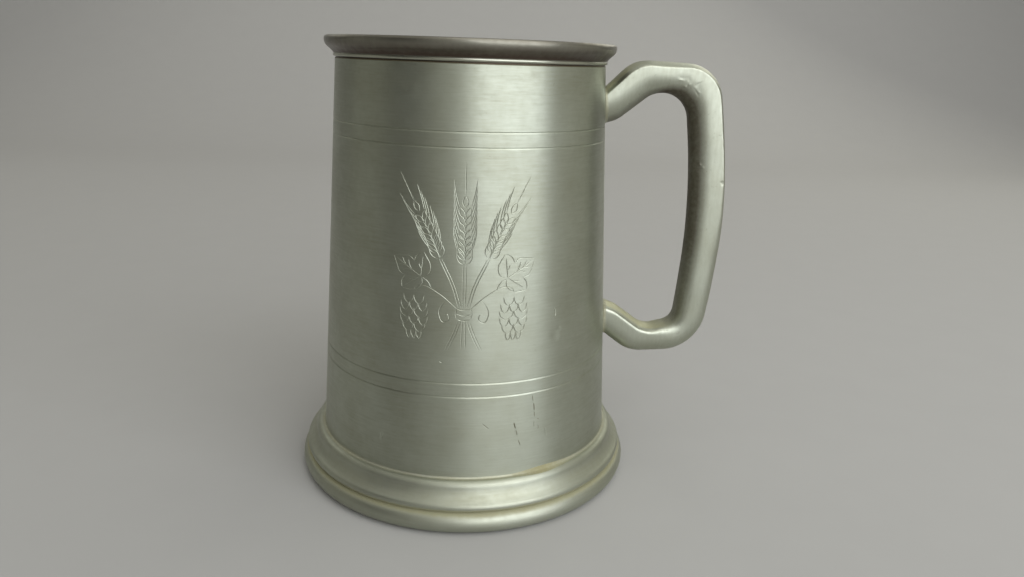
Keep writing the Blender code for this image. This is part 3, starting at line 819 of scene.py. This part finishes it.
def floor_leg(turn):
    """The floor fillet's leg, a little uneven."""
    ripple = FLOOR_RIPPLE * noise.noise((3 * math.cos(turn), 3 * math.sin(turn), 5.0))
    return FLOOR_FILLET_LEG * (1 + ripple)


def shoulder_drop(leg):
    """How far the foot's round shoulder has fallen at a distance out from its collar."""
    past = max(0.0, leg - SHOULDER_WIDTH + SHOULDER_RADIUS)
    return SHOULDER_RADIUS - math.sqrt(SHOULDER_RADIUS**2 - past**2)


def foot_joint():
    """The run outside, from the barrel's side down on the foot's shoulder."""
    low = FOOT_TOP + SOLDER_OVERLAP
    corner = (barrel_side(low) - ROOT_SINK, low - ROOT_SINK)
    return wiped_ring(corner, lambda leg: (barrel_side(low + leg) - SOLDER_OVERLAP, low + leg),
                      lambda leg: (barrel_side(low) + SOLDER_FILM + leg, low - shoulder_drop(leg)),
                      foot_leg, lambda turn: LUMP_STAIN * lump(turn))


def floor_joint():
    """The run inside, from the barrel's bore down on the crowned floor."""
    low = floor_low.z + FLOOR_THICKNESS
    inner = barrel_side(low) - BARREL_WALL
    corner = (inner + ROOT_SINK, low - ROOT_SINK)
    crown_slope = 2 * FLOOR_CROWN / FLOOR_RIM
    return wiped_ring(corner, lambda leg: (inner + BARREL_TAPER * leg + SOLDER_OVERLAP, low + leg),
                      lambda leg: (inner - leg, low + crown_slope * leg - SOLDER_OVERLAP),
                      floor_leg, lambda turn: FLOOR_RUN_STAIN)


def solder_grain(tree, place):
    """The crumbly face of solder that set while it was wiped."""
    return cloudiness(tree, place, 0.0012, 5.0)


solder_metal = pewter("solder", clean=(0.43, 0.44, 0.36), dull=(0.38, 0.38, 0.29),
                      tarnish_and_painted_shade=(0.33, 0.31, 0.18), roughness=0.50,
                      grain=solder_grain, patch=0.006, brushed=0.0)
foot_run = finished("foot_joint_solder", foot_joint(), solder_metal)
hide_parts("foot_solder")
floor_run = finished("floor_joint_solder", floor_joint(), solder_metal)
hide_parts("floor_solder")

# LIP. A turned pewter moulding soldered on the barrel's top edge: a rounded drinking edge that swells
# over and runs down through a cove to a small bead above the joint. The inside flares out from the barrel's
# bore. The joint line is dark with tarnish, and painted shade darkens the cove to a dark brown and the crest
# and the swell to a brown grey.
lip_low, lip_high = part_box("lip_ring")
LIP_RADIUS = (lip_high.x - lip_low.x) / 2
LIP_CREST_WIDTH = 0.0009
LIP_CREST_HEIGHT = 0.0010
LIP_CREST_SWEEP = 160
LIP_CREST_STEPS = 14
LIP_SWELL_REACH = 0.0019
LIP_SWELL_HEIGHT = 0.0023
LIP_SWELL_USED = 0.85
LIP_SWELL_STEPS = 9
LIP_COVE_PULL = (-0.00105, -0.00080)
LIP_COVE_STEPS = 9
LIP_BEAD_RADIUS = 0.0005
LIP_BEAD_SWEEP = (50, -90)
LIP_FLARE_DEPTH = 0.0005
JOINT_LINE = 0.00022
LIP_COLUMNS = 288
# Darkening down the lip: painted shade on the crest, the swell, the cove and the top of the bead, and
# tarnish at the bead's foot and in the joint line. On the swell and in the cove it grows from point to
# point.
FLARE_STAIN = 0.08
CREST_PAINTED_SHADE = 0.29
SWELL_PAINTED_SHADE = (0.26, 0.012)
COVE_PAINTED_SHADE = (0.37, 0.01)
BEAD_PAINTED_SHADE_AND_JOINT_STAIN = [0.24, 0.10] + [0.0] * 8 + [0.1, 0.3, 0.44]
JOINT_LINE_STAIN = 0.44


def growing(stain_and_painted_shade, points):
    """Painted shade that starts at one value and grows by another at each point."""
    first, growth = stain_and_painted_shade
    return [first + growth * i for i in range(len(points))]


def lip_profile():
    """From the seat on the barrel up the flare, over the crest, down the swell and the cove to the bead."""
    tip_z = lip_high.z - LIP_CREST_HEIGHT
    crest = []
    for i in range(LIP_CREST_STEPS):
        angle = math.radians(LIP_CREST_SWEEP - LIP_CREST_SWEEP * i / LIP_CREST_STEPS)
        inset = LIP_CREST_WIDTH * (1 - math.cos(angle))
        crest.append((LIP_RADIUS - inset, tip_z + LIP_CREST_HEIGHT * math.sin(angle)))
    swell = []
    for i in range(LIP_SWELL_STEPS + 1):
        drop = LIP_SWELL_USED * i / LIP_SWELL_STEPS
        inset = LIP_SWELL_REACH * (1 - math.sqrt(1 - drop * drop))
        swell.append((LIP_RADIUS - inset, tip_z - LIP_SWELL_HEIGHT * drop))
    bead_centre = (BARREL_TOP_RADIUS, lip_low.z + LIP_BEAD_RADIUS)
    bead = arc(bead_centre, LIP_BEAD_RADIUS, *LIP_BEAD_SWEEP, MOULDING_STEPS)
    start, end = Vector(swell[-1]), Vector(bead[0])
    bend = start + Vector(LIP_COVE_PULL)
    cove = []
    for i in range(1, LIP_COVE_STEPS):
        share = i / LIP_COVE_STEPS
        cove.append(tuple(start.lerp(bend, share).lerp(bend.lerp(end, share), share)))
    groove = [(BARREL_TOP_RADIUS - JOINT_LINE, lip_low.z), (BARREL_TOP_RADIUS - JOINT_LINE, BARREL_TOP)]
    bottom = (BARREL_TOP_RADIUS - BARREL_WALL, BARREL_TOP)
    flare = [bottom] + hollow(bottom, crest[0], -LIP_FLARE_DEPTH, COVE_STEPS)
    stains_and_painted_shade = [FLARE_STAIN] * len(flare) + [CREST_PAINTED_SHADE] * len(crest) + growing(SWELL_PAINTED_SHADE, swell)
    stains_and_painted_shade += growing(COVE_PAINTED_SHADE, cove) + BEAD_PAINTED_SHADE_AND_JOINT_STAIN + [JOINT_LINE_STAIN] * len(groove)
    return flare + crest + swell + cove + bead + groove, stains_and_painted_shade


# The lip's dark red-brown tarnish colour is painted shade and painted reflection on the crest, the swell and
# the cove, and tarnish in the joint line and the pits.
lip_pewter = pewter("lip_pewter", clean=(0.49, 0.50, 0.42), dull=(0.39, 0.395, 0.32),
                    tarnish_and_painted_shade=(0.085, 0.064, 0.05), roughness=0.33,
                    grain=turning_lines(pitch=0.0006, streak=3.0), pitting=0.2, ragged=0.1, dulling=0.25)
lip_section, lip_stain_and_painted_shade = lip_profile()
lip = finished("lip_moulding", turned(lip_section, LIP_COLUMNS, lip_stain_and_painted_shade), lip_pewter)
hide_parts("lip_ring")

# HANDLE. A solid pewter casting, filed flat on its sides and rubbed smooth, that rises from the barrel,
# turns over a short level arm, bows down through the grip and comes back under a rounded heel. Its outer
# edges are still crisp on the upper arm and its inner ones on the lower arm. Hands have worn the rest soft.
UPPER_ROOT_Z = BARREL_TOP - 0.0112
UPPER_ROOT_DEPTH = 0.0100
LOWER_ROOT_Z = FOOT_TOP + 0.0332
LOWER_ROOT_DEPTH = 0.0102
ROOT_RUN_ON = 0.0070
# A corner is a height above the middle of the nearer root, a reach from the barrel's side and a bend radius.
# The grip's corner lies halfway between its neighbours, so it has only a reach and a bend radius.
OUTER_UPPER_CORNERS = [(0.0134, 0.0090, 0.0102), (0.0125, 0.0337, 0.0113)]
OUTER_GRIP = (0.0392, 0.1980)
OUTER_LOWER_CORNERS = [(-0.0104, 0.0307, 0.0140), (-0.0114, 0.0081, 0.0108)]
INNER_UPPER_CORNERS = [(-0.0038, 0.0041, 0.0088), (0.0031, 0.0130, 0.0051), (0.0085, 0.0241, 0.0107)]
INNER_GRIP = (0.0274, 0.1950)
INNER_LOWER_CORNERS = [(-0.0014, 0.0228, 0.0045), (-0.0033, 0.0136, 0.0075), (0.0035, 0.0043, 0.0093)]
SHARED_BENDS = 5
BEND_STEPS = 16
RUN_USED = 0.98
HANDLE_WIDTH = 0.0104
FACE_DOME = 0.0015
WIDEST_SHIFT = 0.40
OUTER_CRISP_EDGE = 40.0
INNER_CRISP_EDGE = 18.0
ROUND_EDGE = ((0.05, 0.25, 0.60, 0.85), (1.9, 2.5, 2.5, 3.2))
CHANGE_OVER = (0.40, 0.80)
CORNER_SPREAD = 3.24
HANDLE_STEP = 0.0006
HANDLE_COLUMNS = 180
FINE_STATIONS = 1200
ROOT_SEARCH = 0.16
HALVINGS = 40
SADDLE_SINK = 0.0001
CASTING_WAVE = 0.00004
CASTING_WAVES_PER_METRE = 140
# Pairs of shares of the way along the handle and values there
# Painted shade on the inner face: how much lies along the handle, and where round the section it begins
INNER_PAINTED_SHADE = ((0.0, 0.20, 0.32, 0.55, 0.72, 1.0), (0.40, 0.44, 0.38, 0.36, 0.20, 0.12))
INNER_PAINTED_SHADE_EDGE = ((0.20, 0.32, 0.60, 0.72), (0.55, 0.08, 0.08, 0.30))
# The outer film by the upper root is partly yellow oxide and partly painted light on a shaded corner
OUTER_FILM_AND_PAINTED_LIGHT = ((0.0, 0.13, 0.20), (1.0, 0.9, 0.0))
INNER_FILM = ((0.66, 0.76, 1.0), (0.0, 0.8, 1.0))
INNER_PAINTED_SHADE_FADE = 0.6
FILM_AND_PAINTED_LIGHT_SHARPNESS = 3
FILM_AND_PAINTED_LIGHT_LAP = 0.3


def side_point(z, reach):
    """A point in the handle's plane, a reach out from the barrel's side."""
    return Vector((barrel_side(z) + reach, 0.0, z))


def bend_reach(before, corner, after, bend):
    """How far from its corner a bend meets the straight runs beside it."""
    return bend / math.tan((before - corner).angle(after - corner) / 2)


def fitted_bends(corners, bends):
    """The bend radii, each limited so that it shares its straight runs with the bends beside it."""
    reaches = [bend_reach(*three) for three in zip(corners, corners[1:], corners[2:], bends)]
    reaches = [0.0] + reaches + [0.0]
    runs = []
    for i in range(len(corners) - 1):
        length = (corners[i + 1] - corners[i]).length
        runs.append(min(1.0, RUN_USED * length / (reaches[i] + reaches[i + 1])))
    return [bend * min(a, b) for bend, a, b in zip(bends, runs, runs[1:])]


def run_along(path):
    """How far along a line each of its points lies."""
    return np.concatenate([[0.0], np.cumsum([(b - a).length for a, b in zip(path, path[1:])])])


def side_line(upper, grip, lower, side):
    """The handle's outer line (side 1) or inner line (side -1), as shares of the way with their x and z.

    The shares run evenly between marks, which are the ends and the middles of the bends on both lines."""
    above = [side_point(UPPER_ROOT_Z + rise, reach) for rise, reach, _ in upper]
    below = [side_point(LOWER_ROOT_Z + rise, reach) for rise, reach, _ in lower]
    bow = side_point((above[-1].z + below[0].z) / 2, grip[0])
    upper_root = side_point(UPPER_ROOT_Z + side * UPPER_ROOT_DEPTH / 2, 0.0)
    lower_root = side_point(LOWER_ROOT_Z - side * LOWER_ROOT_DEPTH / 2, 0.0)
    upper_end = upper_root + (upper_root - above[0]).normalized() * ROOT_RUN_ON
    lower_end = lower_root + (lower_root - below[-1]).normalized() * ROOT_RUN_ON
    corners = [upper_end] + above + [bow] + below + [lower_end]
    bends = [bend for _, _, bend in upper] + [grip[1]] + [bend for _, _, bend in lower]
    path, middles = [upper_end], []
    for before, corner, after, bend in zip(corners, corners[1:], corners[2:], fitted_bends(corners, bends)):
        back = (before - corner).normalized()
        ahead = (after - corner).normalized()
        reach = bend_reach(before, corner, after, bend)
        centre = corner + (back + ahead).normalized() * math.hypot(bend, reach)
        middles.append(len(path) + BEND_STEPS // 2)
        for i in range(BEND_STEPS + 1):
            spoke = (corner + back * reach - centre).slerp(corner + ahead * reach - centre, i / BEND_STEPS)
            path.append(centre + spoke.normalized() * bend)
    path.append(lower_end)
    spare = (len(bends) - SHARED_BENDS) // 2
    shared = middles[spare:len(middles) - spare]
    stations = run_along(path)
    marks = [0.0] + [stations[i] for i in shared] + [stations[-1]]
    shares = np.interp(stations, marks, np.linspace(0, 1, len(marks)))
    return shares, [p.x for p in path], [p.z for p in path]


outer_line = side_line(OUTER_UPPER_CORNERS, OUTER_GRIP, OUTER_LOWER_CORNERS, 1)
inner_line = side_line(INNER_UPPER_CORNERS, INNER_GRIP, INNER_LOWER_CORNERS, -1)


def on_line(line, share):
    """The place on the outer or the inner line at a share of the way."""
    shares, x, z = line
    return Vector((float(np.interp(share, shares, x)), 0.0, float(np.interp(share, shares, z))))


def core(share):
    """The middle between the two lines at a share of the way."""
    return (on_line(outer_line, share) + on_line(inner_line, share)) / 2


def held(value):
    """A value held between 0 and 1."""
    return min(max(value, 0.0), 1.0)


def crisp_side(share):
    """1 where the crisp face is outside, -1 where it is inside, and between them along the grip."""
    start, end = CHANGE_OVER
    return 1.0 - 2.0 * held((share - start) / (end - start))


def handle_surface(share, angle, grown=0.0):
    """A point on the handle's section. Angle 0 is the outer face and half a turn is the inner one."""
    outer, inner = on_line(outer_line, share), on_line(inner_line, share)
    half_depth = (outer - inner).length / 2
    shift = half_depth * WIDEST_SHIFT * crisp_side(share)
    power = 2 / CORNER_SPREAD
    out = math.copysign(abs(math.cos(angle)) ** power, math.cos(angle))
    across = math.copysign(abs(math.sin(angle)) ** power, math.sin(angle))
    side = math.copysign(1.0, out)
    reach = half_depth - side * shift + grown
    crisp = max(0.0, side * crisp_side(share))
    round_edge = float(np.interp(share, *ROUND_EDGE))
    crisp_edge = OUTER_CRISP_EDGE if side > 0 else INNER_CRISP_EDGE
    squareness = round_edge + (crisp_edge - round_edge) * crisp**3
    dome = FACE_DOME * crisp / reach
    to_face = (abs(out) + math.sqrt(out * out + 4 * dome * across * across)) / 2
    size = (abs(across) ** squareness + to_face ** squareness) ** (-1 / squareness)
    aside = Vector((0.0, (HANDLE_WIDTH / 2 + grown) * across * size, 0.0))
    return (outer + inner) / 2 + (outer - inner).normalized() * (shift + reach * out * size) + aside


def leaves_barrel(end, away, angle, grown, clearance):
    """The share where a line along the handle's surface comes out of the barrel's wall."""
    inside, outside = end, end + away * ROOT_SEARCH
    for _ in range(HALVINGS):
        middle = (inside + outside) / 2
        p = handle_surface(middle, angle, grown)
        if math.hypot(p.x, p.y) < barrel_side(p.z) + clearance:
            inside = middle
        else:
            outside = middle
    return outside


# Marks on the casting, from a place to a place (share of the way, angle round the section), with a half
# width and a depth. Where the depth is less than none the mark stands proud.
HANDLE_MARKS = [
    ((0.270, 4.64), (0.283, 4.55), 0.0002, 0.00011),
    ((0.279, 4.66), (0.289, 4.60), 0.0002, 0.00010),
    ((0.292, 4.66), (0.302, 4.58), 0.0002, 0.00010),
    ((0.278, 4.54), (0.279, 4.53), 0.0003, -0.00016),
    ((0.309, 4.29), (0.310, 4.28), 0.0003, -0.00016),
    ((0.313, 4.47), (0.314, 4.46), 0.0003, -0.00008),
    ((0.330, 4.64), (0.338, 4.50), 0.0002, 0.00011),
    ((0.335, 4.66), (0.341, 4.52), 0.0002, 0.00010),
    ((0.326, 4.62), (0.331, 4.54), 0.0002, 0.00009),
    ((0.3375, 4.42), (0.344, 4.36), 0.0002, 0.00010),
    ((0.437, 4.06), (0.4375, 4.07), 0.0003, -0.00022),
    ((0.441, 4.24), (0.4415, 4.25), 0.0003, -0.00012),
    ((0.448, 3.88), (0.449, 3.88), 0.0003, -0.00012),
    ((0.460, 5.05), (0.462, 5.10), 0.0004, 0.00012),
    ((0.618, 4.44), (0.624, 4.42), 0.0003, 0.00005),
    ((0.720, 4.30), (0.735, 4.20), 0.0002, 0.00010),
    ((0.748, 4.05), (0.760, 3.98), 0.0003, -0.00008),
    ((0.33, 1.80), (0.34, 1.70), 0.0002, 0.00011),
    ((0.55, 2.00), (0.56, 1.94), 0.0002, 0.00010)]
MARK_MARGIN = 0.01
MARK_REACH = 2.5


def handle_rows():
    """Shares at which the sections stand, an even step apart along the middle of the handle."""
    fine = np.linspace(0, 1, FINE_STATIONS)
    run = run_along([core(share) for share in fine])
    stations = [0.0]
    while stations[-1] < run[-1]:
        share = np.interp(stations[-1], run, fine)
        marked = any(start[0] - MARK_MARGIN < share < end[0] + MARK_MARGIN
                     for start, end, _, _ in HANDLE_MARKS)
        stations.append(stations[-1] + (HANDLE_STEP / 3 if marked else HANDLE_STEP))
    stations[-1] = run[-1]
    return np.interp(stations, run, fine)


def mark_height(p, marks):
    """How far the marks lift the casting's surface at a point, or sink it."""
    height = 0.0
    for start, end, half_width, depth in marks:
        run = end - start
        along = held((p - start).dot(run) / run.length_squared)
        gap = (p - start - run * along).length / half_width
        if gap < MARK_REACH:
            height -= depth * math.exp(-gap * gap)
    return height


def inner_painted_shade(share, angle):
    """Painted shade on the inner face: a dark line under the upper arm, most behind the fingers, little
    below.
    """
    most = np.interp(share, *INNER_PAINTED_SHADE)
    begins = np.interp(share, *INNER_PAINTED_SHADE_EDGE)
    return float(most * held((-math.cos(angle) - begins) / INNER_PAINTED_SHADE_FADE))


def yellow_film_and_painted_light(share, angle):
    """A yellow film by the roots: on the outer face of the upper arm, where it is partly oxide and partly
    painted light on a shaded corner, and on the inner face of the lower one.
    """
    facing = abs(math.cos(angle)) - abs(math.sin(angle))
    film_and_painted_light = OUTER_FILM_AND_PAINTED_LIGHT if math.cos(angle) > 0 else INNER_FILM
    return float(held(facing * FILM_AND_PAINTED_LIGHT_SHARPNESS + FILM_AND_PAINTED_LIGHT_LAP) * np.interp(share, *film_and_painted_light))


def handle_mesh():
    """The casting from root to root, ending just inside the barrel's face all round."""
    angles = full_turn(HANDLE_COLUMNS)
    first = [leaves_barrel(0.0, 1.0, a, 0.0, -SADDLE_SINK) for a in angles]
    last = [leaves_barrel(1.0, -1.0, a, 0.0, -SADDLE_SINK) for a in angles]
    marks = []
    for start, end, half_width, depth in HANDLE_MARKS:
        marks.append((handle_surface(*start), handle_surface(*end), half_width, depth))
    bm, tarnish_and_painted_shade = stained_body()
    film_and_painted_light = bm.verts.layers.float.new("film_and_painted_light")
    rows = []
    for even in handle_rows():
        row = []
        for k, angle in enumerate(angles):
            share = first[k] + (last[k] - first[k]) * even
            p = handle_surface(share, angle)
            wave = CASTING_WAVE * noise.noise(p * CASTING_WAVES_PER_METRE)
            toward = (p - core(share)).normalized()
            vert = bm.verts.new(p + toward * (wave + mark_height(p, marks)))
            vert[tarnish_and_painted_shade] = inner_painted_shade(share, angle)
            vert[film_and_painted_light] = yellow_film_and_painted_light(share, angle)
            row.append(vert)
        rows.append(row)
    skin(bm, rows, ring=False)
    bm.faces.new(rows[0])
    bm.faces.new(rows[-1])
    return bm


def handle_grain(tree, place):
    """Faint rubbing marks, mostly along the grip."""
    stretched = wire(tree, "ShaderNodeMapping", {"Vector": place, "Scale": (1.0, 1.0, 0.16)})[0]
    return cloudiness(tree, stretched, 0.0007, 4.0)


# The handle's dark tarnish colour is painted shade on the inner face and darkens the pits; its yellow film
# is partly oxide and partly painted light by the upper root.
handle_pewter = pewter("handle_pewter", clean=(0.48, 0.505, 0.42), dull=(0.39, 0.40, 0.315),
                       tarnish_and_painted_shade=(0.07, 0.055, 0.035), roughness=0.39, grain=handle_grain, patch=0.010,
                       pitting=0.2, brushed=0.0, ragged=0.15, film_and_painted_light=(0.38, 0.37, 0.21))
handle = finished("handle_casting", handle_mesh(), handle_pewter)
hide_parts("handle")

# SOLDER AT THE HANDLE. A small fillet of solder runs round each root of the handle, drawn thin by the
# iron, and closes the joint between the casting's saddle and the barrel.
ROOT_FILLET_RISE = 0.0011
ROOT_FILLET_SPREAD = 0.0009
ROOT_FILLET_HOLLOW = 0.34
ROOT_FILLET_OVERLAP = 0.00003
ROOT_RIPPLE = 0.25
ROOT_STAIN = 0.16
ROOT_MOTTLE = 0.10
ROOT_MOTTLES_PER_METRE = 400
ROOT_COLUMNS = 96
ROOT_PROBE = 0.05


def root_fillet(end, away):
    """The fillet at one end of the handle, from the casting's side out on the barrel's wall."""
    bm, tarnish_and_painted_shade = stained_body()
    probe = on_line(outer_line, end + away * ROOT_PROBE) - on_line(outer_line, end)
    root_length = probe.length / ROOT_PROBE
    rows = []
    for angle in full_turn(ROOT_COLUMNS):
        swell = 1 + ROOT_RIPPLE * noise.noise((2 * math.cos(angle), 2 * math.sin(angle), 20 * end))
        grown = ROOT_FILLET_SPREAD * swell
        meet = leaves_barrel(end, away, angle, 0.0, 0.0)
        edge = leaves_barrel(end, away, angle, grown, -ROOT_FILLET_OVERLAP)
        risen = meet + away * ROOT_FILLET_RISE * swell / root_length
        up = handle_surface(risen, angle, -ROOT_FILLET_OVERLAP)
        out = handle_surface(edge, angle, grown)
        corner = handle_surface(meet - away * ROOT_SINK / root_length, angle, -ROOT_SINK)
        row = [bm.verts.new(p) for p in fillet_section(corner, up, out, ROOT_FILLET_HOLLOW)]
        for vert in row:
            vert[tarnish_and_painted_shade] = ROOT_STAIN + ROOT_MOTTLE * noise.noise(vert.co * ROOT_MOTTLES_PER_METRE)
        rows.append(row)
    skin(bm, rows)
    return bm


upper_fillet = finished("upper_root_solder", root_fillet(0.0, 1.0), solder_metal)
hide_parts("upper_handle_solder")
lower_fillet = finished("lower_root_solder", root_fillet(1.0, -1.0), solder_metal)
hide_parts("lower_handle_solder")

# STUDIO FLOOR. A plain pale sweep of painted board, level under the tankard and curved up behind it, and
# curved up again far in front, behind the lamps. A flat board closes each end.
FLOOR_COLOUR = (0.38, 0.375, 0.36)
PAINT_SHADE = 0.96
PAINT_PATCH = 0.02
FLOOR_FRONT = -2.2
FLOOR_BACK = 0.7
SWEEP_RADIUS = 0.5
SWEEP_TOP = 2.4
SWEEP_HALF_WIDTH = 5.0
SWEEP_STEPS = 16


def painted_board():
    """Matt paint, hardly uneven."""
    board = bpy.data.materials.new("painted_board")
    board.use_nodes = True
    tree = board.node_tree
    shader = tree.nodes["Principled BSDF"]
    place = wire(tree, "ShaderNodeTexCoord")["Object"]
    shade = tuple(PAINT_SHADE * c for c in FLOOR_COLOUR)
    paint = blend(tree, cloudiness(tree, place, PAINT_PATCH, 5.0), (*FLOOR_COLOUR, 1), (*shade, 1))
    tree.links.new(paint, shader.inputs["Base Color"])
    shader.inputs["Roughness"].default_value = 0.8
    shader.inputs["Specular IOR Level"].default_value = 0.2
    return board


def studio_floor():
    """The sweep and its two ends as one mesh object."""
    curve = [math.radians(90 * i / SWEEP_STEPS) for i in range(SWEEP_STEPS + 1)]
    rise = [(SWEEP_RADIUS * math.sin(a), SWEEP_RADIUS * (1 - math.cos(a))) for a in curve]
    back = [(FLOOR_BACK + away, z) for away, z in rise]
    front = [(FLOOR_FRONT - away, z) for away, z in rise]
    line = [(front[-1][0], SWEEP_TOP)] + front[::-1] + back + [(back[-1][0], SWEEP_TOP)]
    bm = bmesh.new()
    left = [bm.verts.new((-SWEEP_HALF_WIDTH, y, z)) for y, z in line]
    right = [bm.verts.new((SWEEP_HALF_WIDTH, y, z)) for y, z in line]
    for i in range(len(line) - 1):
        bm.faces.new((left[i], right[i], right[i + 1], left[i + 1]))
    bm.faces.new([bm.verts.new(v.co) for v in left])
    bm.faces.new([bm.verts.new(v.co) for v in reversed(right)])
    mesh = bpy.data.meshes.new("studio_floor")
    bm.to_mesh(mesh)
    bm.free()
    mesh.shade_smooth()
    mesh.materials.append(painted_board())
    sweep = bpy.data.objects.new("studio_floor", mesh)
    bpy.context.collection.objects.link(sweep)
    return sweep


studio_floor()

# LIGHT. A soft window light to the right of the camera gives the bright band down the barrel, and weaker
# lamps fill in from the front and from both sides. Two behind catch the upper edges of the mouldings, two
# broad ones hang overhead, one lights the board behind, and the room itself stays dim.
ROOM_LIGHT = 0.10
TANKARD_MIDDLE = Vector((AXIS.x, 0.0, 0.065))
BOARD_BEHIND = Vector((0.0, FLOOR_BACK + SWEEP_RADIUS, 0.35))


def soft_light(name, azimuth, elevation, distance, width, height, radiance, colour, aim=TANKARD_MIDDLE):
    """A lamp aimed at a place. Azimuth 0 is in front of it and 90 to its right, in degrees."""
    a, e = math.radians(azimuth), math.radians(elevation)
    toward = Vector((math.sin(a) * math.cos(e), -math.cos(a) * math.cos(e), math.sin(e)))
    lamp = bpy.data.lights.new(name, "AREA")
    lamp.shape = "RECTANGLE"
    lamp.size = width
    lamp.size_y = height
    lamp.energy = radiance * math.pi * width * height
    lamp.color = colour
    holder = bpy.data.objects.new(name, lamp)
    holder.location = aim + toward * distance
    holder.rotation_euler = toward.to_track_quat("Z", "Y").to_euler()
    holder.visible_camera = False
    bpy.context.collection.objects.link(holder)


# Azimuth and elevation, distance, width and height, radiance and colour
soft_light("window_light", 32, 22, 1.0, 1.15, 1.20, 2.75, (0.975, 1.0, 1.045))
soft_light("front_fill", -14, 26, 1.2, 0.80, 1.10, 0.40, (1.0, 0.99, 0.92))
soft_light("left_light", -90, 12, 1.0, 0.70, 0.70, 0.22, (1.0, 0.99, 0.86))
soft_light("back_left_light", -135, 30, 1.1, 0.70, 0.50, 0.50, (1.0, 0.99, 0.88))
soft_light("back_right_light", 140, 28, 1.1, 0.70, 0.50, 1.40, (1.0, 0.99, 0.88))
soft_light("right_fill", 92, 14, 1.1, 0.80, 0.90, 0.42, (1.0, 0.98, 0.86))
soft_light("top_light", 60, 74, 1.1, 1.00, 1.00, 1.2, (1.0, 1.0, 0.98))
soft_light("ceiling_light", 0, 90, 1.35, 3.00, 2.60, 0.38, (1.0, 0.99, 0.92))
soft_light("wall_light", 0, 40, 0.8, 1.40, 0.40, 1.2, (1.0, 0.99, 0.98), BOARD_BEHIND)

world = bpy.data.worlds.new("studio")
world.use_nodes = True
room = world.node_tree.nodes["Background"]
room.inputs["Color"].default_value = (1.0, 0.98, 0.93, 1.0)
room.inputs["Strength"].default_value = ROOM_LIGHT
bpy.context.scene.world = world

# CAMERA. A fairly wide lens, close up. It stands 23 cm in front of the barrel's axis, level with the lip,
# and looks down and a little to the right, with a slight lean.
IMAGE_WIDTH = 1024
FOCAL_PIXELS = 776.5
CAMERA_PLACE = AXIS + Vector((0.0, -0.23174, 0.12464))
LOOK_DOWN = 0.2932
LOOK_RIGHT = 0.0598
LEAN = 0.0357
lens = bpy.data.cameras.new("camera")
lens.sensor_width = 36.0
lens.lens = FOCAL_PIXELS * lens.sensor_width / IMAGE_WIDTH
lens.clip_start = 0.01
camera = bpy.data.objects.new("camera", lens)
bpy.context.collection.objects.link(camera)
ahead = Vector((math.sin(LOOK_RIGHT) * math.cos(LOOK_DOWN), math.cos(LOOK_RIGHT) * math.cos(LOOK_DOWN),
                -math.sin(LOOK_DOWN)))
level = Vector((math.cos(LOOK_RIGHT), -math.sin(LOOK_RIGHT), 0.0))
upright = level.cross(ahead)
right = level * math.cos(LEAN) + upright * math.sin(LEAN)
top = upright * math.cos(LEAN) - level * math.sin(LEAN)
facing = Matrix((right, top, -ahead)).transposed().to_4x4()
camera.matrix_world = Matrix.Translation(CAMERA_PLACE) @ facing
bpy.context.scene.camera = camera
bpy.context.scene.view_settings.view_transform = "Standard"
